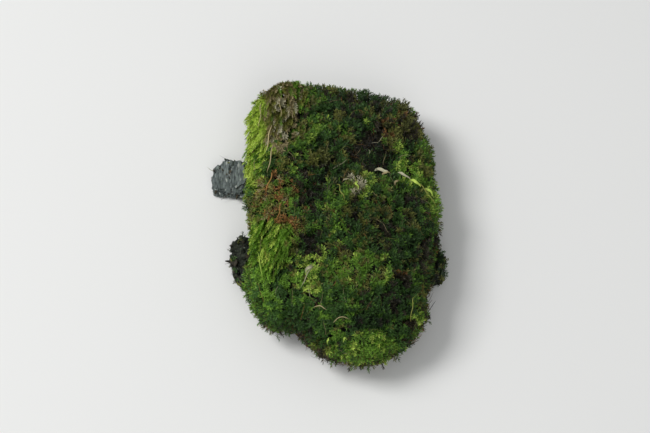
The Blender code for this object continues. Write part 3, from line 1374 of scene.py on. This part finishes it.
STRAWS = [
    Straw((-8.5, -22), (-12.5, -30), 0.20, Hue.BLEACHED, 0.30, 0.5),
    Straw((-8, -36), (-4, -37.5), 0.17, Hue.TAN, 0.85),
    Straw((-2, -41), (3, -40.5), 0.15, Hue.TAN, 0.75, 0.5, 0.6),
    Straw((-27, 39), (-27.5, 28), 0.18, Hue.TAN, 0.75),
    Straw((-21, 40), (-20.5, 29), 0.16, Hue.TAN, 0.60),
    Straw((-23, 28), (-24.5, 18), 0.22, Hue.TAN, 0.95, 0.6),
    Straw((-22, 20), (-24, 11), 0.20, Hue.TAN, 0.85, 0.5),
    Straw((-22.5, 11), (-24.0, 4), 0.18, Hue.RUST, 0.95, 0.6),
    Straw((-19, 1), (-20.5, -6), 0.16, Hue.RUST, 0.85, 0.5),
    Straw((-2.0, 5), (0.5, -2), 0.15, Hue.OLIVE, 0.95, 0.5),
    Straw((21, -38), (22.5, -31), 0.14, Hue.OLIVE, 0.98),
    Straw((-26, -16), (-24, -27), 0.16, Hue.LIME, 0.50, 0.4),
    # A pale blade running to the right edge, near white partly from its own colour and partly as a painted
    # highlight along it.
    Straw((22, 9), (29, 1), 0.14, Hue.OLIVE, 0.99, 0.4, 0.5),
]


@dataclass(frozen=True)
class DeadLeaf:
    """A small pale leaf end on the turf. Place and lengths in millimetres, turn in degrees."""

    place: tuple[float, float]
    turn: float
    length: float
    width: float
    hue: Hue
    shade: float


DEAD_LEAVES = [
    DeadLeaf((11.5, 12.5), -12, 4.6, 1.0, Hue.BLEACHED, 0.60),
    DeadLeaf((13, 11), 12, 2.8, 0.6, Hue.TAN, 0.80),
    DeadLeaf((18.5, 10.5), -38, 5.4, 1.2, Hue.BLEACHED, 0.70),
    DeadLeaf((22, 8.5), -28, 4.0, 0.9, Hue.LIME, 0.85),
    DeadLeaf((16.5, 8), 60, 2.6, 0.6, Hue.TAN, 0.70),
    DeadLeaf((26, 6), -40, 3.4, 0.9, Hue.LIME, 0.70),
    DeadLeaf((1, 5.5), 15, 3.0, 0.7, Hue.BLEACHED, 0.20),
    DeadLeaf((4, 3.5), -70, 2.6, 0.6, Hue.LIME, 0.65),
    DeadLeaf((-3.5, -45), 80, 1.5, 0.5, Hue.LIME, 0.60),
    DeadLeaf((1.5, -46), 20, 1.5, 0.5, Hue.LIME, 0.55),
    DeadLeaf((-9.5, -23.5), 62, 4.4, 0.9, Hue.BLEACHED, 0.55),
]


# What the finer dead stems are, and how often.
STEM_MIX = (
    (Hue.TAN, 0.20),
    (Hue.RUST, 0.24),
    (Hue.OLIVE, 0.36),
    (Hue.BLEACHED, 0.02),
    (Hue.DEAD, 0.18),
)


@dataclass
class Litter:
    """What has fallen on the turf and caught in it: straws, leaf ends and finer dead stems."""

    turf: Turf
    dry: bpy.types.Material
    steps: int = 12
    dip: float = 0.7  # how far the ends of what lies on the turf sink in, in millimetres
    sway: float = 1.6 * MM  # how far a crook of 1 puts a strand out of its line
    fine_stems: int = 220
    fine_spacing: float = 2.0 * MM
    fine_half: tuple[float, float] = (1.0, 3.2)  # half lengths, in millimetres
    fine_radius: tuple[float, float] = (0.04, 0.085)  # in millimetres
    combed_to: float = -15.0  # left of here stems lie along the clump, as the combed shoots do
    end_arch: float = 0.5  # how far the middles of leaf ends stand off the turf, in millimetres
    end_bow: float = 0.35
    end_crook: float = 0.12
    seed: int = 5

    def __post_init__(self) -> None:
        """Starts the random source."""
        self.rng = np.random.default_rng(self.seed)

    def path(self, straw: Straw) -> np.ndarray:
        """The line that a straw follows over the turf.

        Args:
            straw: The straw.

        Returns:
            Points from end to end.
        """
        share = np.linspace(0, 1, self.steps)
        start, end = np.array(straw.start) * MM, np.array(straw.end) * MM
        aside = unit(np.array([start[1] - end[1], end[0] - start[0]]))
        hump = 4 * share * (1 - share)
        sway = sum(self.rng.normal(0, straw.crook) * np.sin(turns * math.pi * share) for turns in (2, 3))
        bend = straw.bow * MM * hump + self.sway * sway
        flat = start + (end - start) * share[:, None] + aside * bend[:, None]
        tops = [self.turf.rest_height(x, y) for x, y in flat]
        lowest = min((top for top in tops if top is not None), default=self.turf.form.low[2])
        height = np.array([lowest if top is None else top for top in tops])
        height = np.convolve(np.pad(height, 1, mode="edge"), np.ones(3) / 3, mode="valid")
        lift = (straw.arch * hump - self.dip * (1 - hump)) * MM
        return np.column_stack([flat, height + lift])

    def fine(self) -> list[Straw]:
        """Scatters thinner dead stems and threads over the turf, half sunk in it.

        Returns:
            The stems.
        """
        rng, form = self.rng, self.turf.form
        places, _ = form.scatter(self.fine_spacing, form.low[2] + 3 * MM, rng)
        hues, odds = zip(*STEM_MIX)
        straws = []
        for x, y, _ in places[rng.choice(len(places), self.fine_stems, replace=False)] / MM:
            combed = x <= self.combed_to
            turn = rng.normal(math.pi / 2, 0.35) if combed else rng.uniform(0, math.pi)
            half = rng.uniform(*self.fine_half)
            reach = np.array([math.cos(turn), math.sin(turn)]) * half
            if not all(form.top((x + i * reach[0]) * MM, (y + i * reach[1]) * MM) for i in (-1.3, 1.3)):
                continue  # it would stick out past the turf
            straws.append(
                Straw(
                    (x - reach[0], y - reach[1]),
                    (x + reach[0], y + reach[1]),
                    radius=rng.uniform(*self.fine_radius),
                    hue=rng.choice(hues, p=odds),
                    shade=rng.uniform(0.2, 0.65),
                    arch=rng.uniform(-0.9, 0.2),
                    bow=rng.normal(0, 0.25),
                    crook=0.07,
                )
            )
        return straws

    def build(self) -> list[bpy.types.Object]:
        """Makes the litter.

        Returns:
            The straws and the leaf ends.
        """
        soup = Soup()
        taper = np.interp(np.linspace(0, 1, self.steps), [0, 0.1, 0.8, 1], [0.5, 1, 0.8, 0.15])
        for straw in (*STRAWS, *self.fine()):
            hue, shade = np.array([straw.hue.value]), np.array([straw.shade])
            strands(soup, self.path(straw)[None], (taper * straw.radius * MM)[None], hue, shade, sides=5)
        ends = Soup()
        share = np.linspace(0, 1, self.steps)
        for leaf in DEAD_LEAVES:
            turn = math.radians(leaf.turn)
            reach = np.array([math.cos(turn), math.sin(turn)]) * leaf.length / 2
            x, y = leaf.place
            start, end = (x - reach[0], y - reach[1]), (x + reach[0], y + reach[1])
            line = Straw(start, end, 0, leaf.hue, leaf.shade, self.end_arch, self.end_bow, self.end_crook)
            path = self.path(line)
            twist = self.rng.uniform(-0.5, 0.5) + self.rng.uniform(-0.8, 0.8) * share
            aside = np.array([-math.sin(turn), math.cos(turn), 0.0])
            facing = UP * np.cos(twist)[:, None] + aside * np.sin(twist)[:, None]
            hue, shade = np.array([leaf.hue.value]), np.array([leaf.shade])
            blades(ends, path[None], np.array([leaf.width * MM]), facing[None], hue, shade)
        made = [soup.piece("dry_strands", self.dry), ends.piece("leaf_ends", self.dry)]
        return made


# ------------------------------------------------------------------ humus and bark


def grains(
    soup: Soup,
    places: np.ndarray,
    sizes: np.ndarray,
    hue: np.ndarray,
    shade: np.ndarray,
    rng: np.random.Generator,
) -> None:
    """Adds small angular grains.

    Args:
        soup: Takes the grains.
        places: Their middles.
        sizes: Their half widths.
        hue: Row of the chart for each.
        shade: From 0, dark, to 1, light, for each.
        rng: Random source.
    """
    ball = bmesh.new()
    bmesh.ops.create_icosphere(ball, subdivisions=1, radius=1)
    shape = np.array([vert.co for vert in ball.verts])
    corners = np.array([[vert.index for vert in face.verts] for face in ball.faces])
    ball.free()
    count = len(places)
    turns = np.linalg.qr(rng.normal(size=(count, 3, 3)))[0]
    turns[np.linalg.det(turns) < 0, :, 0] *= -1
    stretch = rng.uniform(0.5, 1.3, (count, 1, 3))
    rough = 1 + rng.uniform(-0.32, 0.32, (count, len(shape), 1))
    local = shape[None] * stretch * rough
    points = places[:, None] + np.einsum("nij,nkj->nki", turns, local) * sizes[:, None, None]
    faces = corners[None] + len(shape) * np.arange(count)[:, None, None]
    across, along = (shape[:, 0] + 1) / 2, (shape[:, 2] + 1) / 2
    soup.add(points, faces, chart_place(hue[:, None], shade[:, None], across[None], along[None]))


# What the humus holds, and how often.
GRAIN_MIX = ((Hue.DEAD, 0.74), (Hue.RUST, 0.13), (Hue.TAN, 0.08), (Hue.OLIVE, 0.05))
FLAKE_MIX = ((Hue.DEAD, 0.60), (Hue.RUST, 0.20), (Hue.TAN, 0.12), (Hue.OLIVE, 0.08))
ROOT_MIX = ((Hue.RUST, 0.28), (Hue.TAN, 0.24), (Hue.DEAD, 0.34), (Hue.OLIVE, 0.14))
SPRIG_MIX = ((Hue.DEEP, 0.60), (Hue.OLIVE, 0.25), (Hue.FRESH, 0.15))
DARK_MIX = ((Hue.DEAD, 0.75), (Hue.OLIVE, 0.13), (Hue.DEEP, 0.12))
GREY_MIX = ((Hue.DEAD, 0.80), (Hue.BLEACHED, 0.12), (Hue.OLIVE, 0.08))


@dataclass
class HumusMat:
    """The mat that the turf holds on to: crumbly humus, flat below, with roots and grit."""

    form: Form
    humus: bpy.types.Material
    dry: bpy.types.Material
    around: int = 480
    side_rows: int = 11
    flat_rows: int = 14
    over_rows: int = 5
    skin: float = 0.2 * MM  # how far inside its faces the rim's radius is taken
    relief: float = 0.9 * MM
    under_relief: float = 0.55 * MM
    under_share: float = 0.35  # of its grains and flakes, which are on its underside
    grain_count: int = 1300
    grain_size: float = 0.40  # usual half width, in millimetres
    flake_count: int = 420
    flake_size: float = 0.8  # usual half length, in millimetres
    root_count: int = 700
    root_steps: int = 8
    wave: float = 0.3 * MM  # how far roots waver
    seed: int = 11

    def __post_init__(self) -> None:
        """Starts the random source."""
        self.rng = np.random.default_rng(self.seed)

    def build(self) -> list[bpy.types.Object]:
        """Makes the mat.

        Returns:
            Its slab, its grains and its roots.
        """
        made = [self.make_slab(), self.make_grains(), self.make_roots()]
        for piece in made:
            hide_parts(self.form.node)
        return made

    def rim(self, turn: float, height: float) -> float:
        """Distance from the Z axis to the mat's rim.

        Args:
            turn: Direction, in radians.
            height: Height above the floor.

        Returns:
            The distance.
        """
        low, high = self.form.low[2] + self.skin, self.form.high[2] - self.skin
        ahead = np.array([math.cos(turn), math.sin(turn), 0.0])
        return self.form.reach(np.array([0.0, 0.0, min(max(height, low), high)]), ahead)

    def make_slab(self) -> bpy.types.Object:
        """Makes the slab: rings from the middle of its underside out, up its rim and in again.

        Returns:
            The piece.
        """
        thick = self.form.high[2]
        under = [(share, 0.0) for share in np.linspace(0.04, 0.96, self.flat_rows)]
        side = [(1.0, height) for height in np.linspace(0.05, 0.98, self.side_rows) * thick]
        over = [(share, thick) for share in np.linspace(0.94, 0.05, self.over_rows)]
        rows = [*under, *side, *over]
        points = []
        for share, height in rows:
            for number in range(self.around):
                turn = math.tau * number / self.around
                radius = self.rim(turn, height) * share
                point = Vector((radius * math.cos(turn), radius * math.sin(turn), height))
                crumb = noise.noise(point / (2.2 * MM)) + 0.7 * noise.noise(point / (0.9 * MM))
                if share == 1.0:
                    grow = 1 + self.relief * (crumb - 0.3) / max(radius, MM)
                    point.x, point.y = point.x * grow, point.y * grow
                elif height == 0.0:
                    point.z = max(0.0, self.under_relief * crumb * min(1.0, 3 * share))
                points.append(point)
        points += [Vector((0, 0, 0)), Vector((0, 0, thick))]
        faces = closed_faces(len(rows), self.around)[:, ::-1]
        return add_piece("humus_slab", np.array(points), faces, self.humus)

    def places(self, count: int, under: float) -> tuple[np.ndarray, np.ndarray]:
        """Random places on the mat's rim and underside.

        Args:
            count: How many.
            under: Share of them on the underside.

        Returns:
            The places, and the outward direction at each.
        """
        rng = self.rng
        places, outward = np.zeros((count, 3)), np.zeros((count, 3))
        for number in range(count):
            turn = rng.uniform(0, math.tau)
            below = rng.random() < under
            height = 0.3 * MM if below else rng.uniform(0.04, 1.05) * self.form.high[2]
            radius = self.rim(turn, height) * (math.sqrt(rng.uniform(0.05, 0.98)) if below else 1.0)
            places[number] = radius * math.cos(turn), radius * math.sin(turn), height
            outward[number] = (0, 0, -1) if below else (math.cos(turn), math.sin(turn), 0)
        return places, outward

    def make_grains(self) -> bpy.types.Object:
        """Makes the crumbs, grit and flakes of rotten wood on the mat's rim and underside.

        Returns:
            The piece.
        """
        rng, soup = self.rng, Soup()
        count = self.grain_count
        places, _ = self.places(count, self.under_share)
        sizes = rng.lognormal(math.log(self.grain_size), 0.45, count).clip(0.15, 1.2) * MM
        hue = draw_hues(rng, GRAIN_MIX, count)
        grains(soup, places, sizes, hue, rng.uniform(0.05, 0.6, count), rng)
        count = self.flake_count
        places, outward = self.places(count, self.under_share)
        sizes = rng.lognormal(math.log(self.flake_size), 0.4, count).clip(0.3, 2.0) * MM
        hue = draw_hues(rng, FLAKE_MIX, count)
        facing = outward + rng.normal(0, 0.45, outward.shape)
        shards(soup, places, facing, sizes, hue, rng.uniform(0.1, 0.7, count), rng)
        return soup.piece("humus_grains", self.dry, smooth=False)

    def make_roots(self) -> bpy.types.Object:
        """Makes the fine roots and dead stems in the mat, some of which hang from the turf.

        Returns:
            The piece.
        """
        rng, count = self.rng, self.root_count
        share = np.linspace(0, 1, self.root_steps)
        paths = []
        for number in range(count):
            turn = rng.uniform(0, math.tau)
            kind = number % 4  # half run round the rim, a quarter hang from the turf
            if kind < 2:
                height = rng.uniform(0.1, 1.0) * self.form.high[2]
                radius = self.rim(turn, height) + rng.uniform(-0.6, 0.5) * MM
                sweep = rng.normal(0, 0.05) + rng.choice([-0.05, 0.05])
                rise = rng.normal(0, 1.6) * MM
            elif kind == 2:
                height = rng.uniform(3.5, 5.5) * MM
                radius = self.rim(turn, height) + rng.uniform(0.1, 1.4) * MM
                sweep = rng.normal(0, 0.03)
                rise = -rng.uniform(3, 7) * MM
            else:  # and a quarter lie on the underside
                height = 0.25 * MM
                radius = self.rim(turn, height) * math.sqrt(rng.uniform(0.02, 0.95))
                sweep = rng.normal(0, 1.0) * 3 * MM / max(radius, 3 * MM)
                rise = 0.0
            off = share - 0.5
            angles = turn + sweep * off * 2 + rng.normal(0, 0.012) * np.sin(share * 7)
            radii = radius + rng.normal(0, 1.2 * MM) * off + self.wave * np.sin(share * 5 + turn)
            heights = np.clip(height + rise * off + self.wave * np.sin(share * 6), 0.15 * MM, 9 * MM)
            paths.append(np.column_stack([radii * np.cos(angles), radii * np.sin(angles), heights]))
        taper = np.interp(share, [0, 0.2, 1], [0.4, 1, 0.3])
        radii = rng.uniform(0.05, 0.15, (count, 1)) * taper * MM
        hue, soup = draw_hues(rng, ROOT_MIX, count), Soup()
        strands(soup, np.array(paths), radii, hue, rng.uniform(0.15, 0.65, count), sides=4)
        return soup.piece("humus_roots", self.dry)


@dataclass
class StuckBit:
    """A bit of bark or humus at the mat's rim: a cracked, layered body with flakes and moss on it."""

    form: Form
    body: bpy.types.Material
    dry: bpy.types.Material
    leaf: bpy.types.Material
    slot: str
    hues: tuple[tuple[Hue, float], ...]
    shades: tuple[float, float]
    block: tuple[float, float, float] = (1.6, 1.3, 1.0)  # that it cracks into, in millimetres
    step: float = 1.1 * MM  # how far one block stands out from the next
    flake_count: int = 60
    flake_size: float = 1.1
    slender: float = 0.6
    thread_count: int = 16
    thread_steps: int = 6
    sprig_count: int = 26
    layer_count: int = 0  # broken layers round the body, for a flake that splits
    layer_corners: int = 22
    crumble: float = 0.18 * MM  # height of the finest roughness
    seed: int = 3

    def __post_init__(self) -> None:
        """Starts the random source and picks places on the solid's skin."""
        self.rng = np.random.default_rng(self.seed)
        self.places, self.outward = self.form.scatter(0.55 * MM, 0.2 * MM, self.rng)

    def build(self) -> list[bpy.types.Object]:
        """Makes the bit.

        Returns:
            Its body, what sticks to it and the moss on it.
        """
        made = [self.make_body(), self.make_crust()]
        if self.sprig_count:
            made.append(self.make_sprigs())
        if self.layer_count:
            made.append(self.make_layers())
        for piece in made:
            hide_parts(self.form.node)
        return made

    def make_body(self) -> bpy.types.Object:
        """Makes the body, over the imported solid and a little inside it.

        Returns:
            The piece.
        """
        mesh = bmesh.new()
        bmesh.ops.create_icosphere(mesh, subdivisions=6, radius=1)
        half = (self.form.high - self.form.low) / 2
        for vert in mesh.verts:
            ahead = unit(np.array(vert.co) * half)
            reach = self.form.reach(self.form.centre, ahead)
            vert.co = Vector(self.form.centre + ahead * (reach - 0.6 * self.step))
        mesh.normal_update()
        shift = Vector((self.seed, self.seed * 2.0, 0.5))
        warps = [Vector((0.0, 0.0, 17.0 * axis)) for axis in range(3)]  # unlike noise for each axis
        for vert in mesh.verts:
            cell = Vector([part / (size * MM) for part, size in zip(vert.co, self.block)]) + shift
            cell += 0.45 * Vector([noise.noise(cell * 0.8 + apart) for apart in warps])
            fine = noise.noise(vert.co / (0.45 * MM)) + noise.noise(vert.co / (1.5 * MM))
            vert.co += vert.normal * (self.step * (noise.cell(cell) - 0.5) + self.crumble * fine)
            vert.co.z = max(vert.co.z, 0.05 * MM)
        points = np.array([vert.co for vert in mesh.verts])
        faces = np.array([[vert.index for vert in face.verts] for face in mesh.faces])
        mesh.free()
        return add_piece(self.form.node + "_body", points, faces, self.body)

    def pick(self, count: int) -> tuple[np.ndarray, np.ndarray]:
        """Some of the places on the skin, with the outward direction at each."""
        rows = self.rng.choice(len(self.places), count, replace=False)
        return self.places[rows], self.outward[rows]

    def make_crust(self) -> bpy.types.Object:
        """Makes the flakes and threads that stick to the body.

        Returns:
            The piece.
        """
        rng, soup = self.rng, Soup()
        count = self.flake_count
        places, outward = self.pick(count)
        shards(
            soup,
            places - outward * 0.5 * self.step,
            outward + rng.normal(0, 0.5, outward.shape),
            rng.lognormal(math.log(self.flake_size), 0.45, count).clip(0.3, 3.0) * MM,
            draw_hues(rng, self.hues, count),
            rng.uniform(*self.shades, count),
            rng,
            self.slender,
        )
        count, steps = self.thread_count, self.thread_steps
        share = np.linspace(0, 1, steps)[None, :, None]
        places, outward = self.pick(count)
        ahead = unit(outward + rng.normal(0, 0.8, outward.shape))
        aside = unit(rng.normal(size=outward.shape))
        length = rng.uniform(1.0, 2.8, (count, 1, 1)) * MM
        start = (places - outward * 0.8 * MM)[:, None]
        paths = start + length * (ahead[:, None] * share + 0.6 * aside[:, None] * share**2)
        radii = rng.uniform(0.06, 0.16, (count, 1)) * np.linspace(1, 0.3, steps) * MM
        hue = draw_hues(rng, self.hues, count)
        strands(soup, paths, radii, hue, rng.uniform(*self.shades, count), sides=4)
        return soup.piece(self.form.node + "_crust", self.dry, smooth=False)

    def make_sprigs(self) -> bpy.types.Object:
        """Makes the few moss shoots that grow on it.

        Returns:
            The piece.
        """
        rng, count = self.rng, self.sprig_count
        places, outward = self.pick(count)
        ahead = unit(outward + 0.5 * UP + rng.normal(0, 0.3, outward.shape))
        length = rng.uniform(1.6, 2.8, (count, 1)) * MM
        tip = places + outward * 0.5 * MM
        hue = draw_hues(rng, SPRIG_MIX, count)
        shade = rng.uniform(0.15, 0.5, count)
        kind = np.full(count, Growth.SPRIG.number)
        bend, root = tip - 0.5 * ahead * length, tip - ahead * length
        soup = Soup()
        Shoots(tip, bend, root, shade, hue, kind).add_leaves(soup, rng)
        return soup.piece(self.form.node + "_sprigs", self.leaf)

    def make_layers(self) -> bpy.types.Object:
        """Makes the thin layers that the bit has split into, each broken off along its own edge.

        Returns:
            The piece.
        """
        rng, corners = self.rng, self.layer_corners
        low, high = self.form.low[2], self.form.high[2]
        pitch = (high - low) / self.layer_count
        thick = 0.8 * pitch
        points, faces = [], []
        for number in range(self.layer_count):
            middle = self.form.centre + np.array([*rng.normal(0, 0.3 * MM, 2), 0.0])
            middle[2] = low + pitch * (number + 0.6)
            turns = math.tau * (np.arange(corners) + rng.uniform(-0.4, 0.4, corners)) / corners
            lean = rng.normal(0, 0.03, 2)
            rim = []
            for turn in turns:
                ahead = np.array([math.cos(turn), math.sin(turn), 0.0])
                rim.append(middle + ahead * self.form.reach(middle, ahead) * rng.uniform(0.80, 1.0))
            rim = np.array(rim)
            rim[:, 2] += (rim[:, :2] - middle[:2]) @ lean
            below = rim - thick * UP
            below[:, :2] = middle[:2] + (below[:, :2] - middle[:2]) * rng.uniform(0.93, 1.0, (corners, 1))
            faces.append(closed_faces(2, corners)[:, ::-1] + len(points))
            points += [*rim, *below, middle, middle - thick * UP]
        points = np.array(points)
        points[:, 2] = np.maximum(points[:, 2], LOWEST)
        name = self.form.node + "_layers"
        return add_piece(name, points, np.concatenate(faces), self.body, smooth=False)


# ------------------------------------------------------------------ studio


@dataclass(frozen=True)
class SoftLight:
    """A square soft light that faces the clump. Place and width in metres, power in watts."""

    name: str
    place: tuple[float, float, float]
    width: float
    power: float


@dataclass
class Studio:
    """The pale floor, the soft lights and the camera."""

    azimuth: float = 6.0
    elevation: float = 60.0
    roll: float = -5.2  # the picture's sides run along the clump, though it's seen from its right
    distance: float = 0.85
    lens: float = 152.0
    floor_radius: float = 5.0
    floor_corners: int = 96
    sky_colour: str = "#F2F4F6"
    sky_strength: float = 0.36
    lights: tuple[SoftLight, ...] = (
        SoftLight("key", (-0.75, 0.15, 0.95), 0.55, 9.5),  # high on the left
        SoftLight("front", (0.25, -0.9, 0.7), 0.7, 2.8),
    )

    def build(self) -> None:
        """Sets the stage."""
        self.make_floor()
        self.make_lights()
        self.make_camera()

    def make_floor(self) -> None:
        """Makes the round floor."""
        mesh = bmesh.new()
        bmesh.ops.create_circle(
            mesh, cap_ends=True, segments=self.floor_corners, radius=self.floor_radius
        )
        data = bpy.data.meshes.new("floor")
        mesh.to_mesh(data)
        mesh.free()
        data.materials.append(FloorFinish().build())
        floor = bpy.data.objects.new("floor", data)
        bpy.context.scene.collection.objects.link(floor)

    def make_lights(self) -> None:
        """Makes the soft lights and a pale sky."""
        for soft in self.lights:
            data = bpy.data.lights.new(soft.name, "AREA")
            data.size = soft.width
            data.energy = soft.power
            light = bpy.data.objects.new(soft.name, data)
            light.location = soft.place
            light.rotation_mode = "QUATERNION"
            light.rotation_quaternion = (-Vector(soft.place)).to_track_quat("-Z", "Y")
            bpy.context.scene.collection.objects.link(light)
        world = bpy.data.worlds.new("sky")
        world.use_nodes = True
        sky = world.node_tree.nodes["Background"]
        sky.inputs["Color"].default_value = linear(self.sky_colour)
        sky.inputs["Strength"].default_value = self.sky_strength
        bpy.context.scene.world = world
        bpy.context.scene.view_settings.view_transform = "Standard"

    def make_camera(self) -> None:
        """Makes the camera, which looks down on the clump from the front."""
        low, high = PACKED_BOX
        middle = (low + high) / 2
        turn, rise = math.radians(self.azimuth), math.radians(self.elevation)
        level_share = math.cos(rise)
        back = Vector((math.sin(turn) * level_share, -math.cos(turn) * level_share, math.sin(rise)))
        data = bpy.data.cameras.new("camera")
        data.lens = self.lens
        camera = bpy.data.objects.new("camera", data)
        camera.location = middle + back * self.distance
        camera.rotation_mode = "QUATERNION"
        level = (-back).to_track_quat("-Z", "Y")
        camera.rotation_quaternion = level @ Quaternion((0, 0, 1), math.radians(self.roll))
        bpy.context.scene.collection.objects.link(camera)
        bpy.context.scene.camera = camera


def main() -> None:
    """Builds the stage and the clump."""
    logging.basicConfig(level=logging.INFO)
    Studio().build()
    leaf, dry = LeafFinish().build(), DRY_MATTER.build()
    humus, black, bark = HUMUS.build(), BLACK_HUMUS.build(), ROTTEN_BARK.build()
    turf = Turf(Form("moss_turf"), leaf, DECAYED_MOSS_AND_SHADE.build())
    turf.build()
    Litter(turf, dry).build()
    HumusMat(Form("humus_mat"), humus, dry).build()
    StuckBit(Form("humus_crumb"), black, dry, leaf, "humus", DARK_MIX, (0.1, 0.5), seed=3).build()
    StuckBit(
        Form("humus_lump"), black, dry, leaf, "humus", DARK_MIX, (0.05, 0.4), sprig_count=60, seed=4
    ).build()
    StuckBit(
        Form("bark_flake"),
        bark,
        dry,
        leaf,
        "grey_bark",
        GREY_MIX,
        (0.3, 0.7),
        block=(1.4, 4.5, 0.9),
        step=0.7 * MM,
        flake_count=14,
        flake_size=0.9,
        slender=0.35,
        sprig_count=0,
        layer_count=6,
        seed=6,
    ).build()


if __name__ == "__main__":
    main()
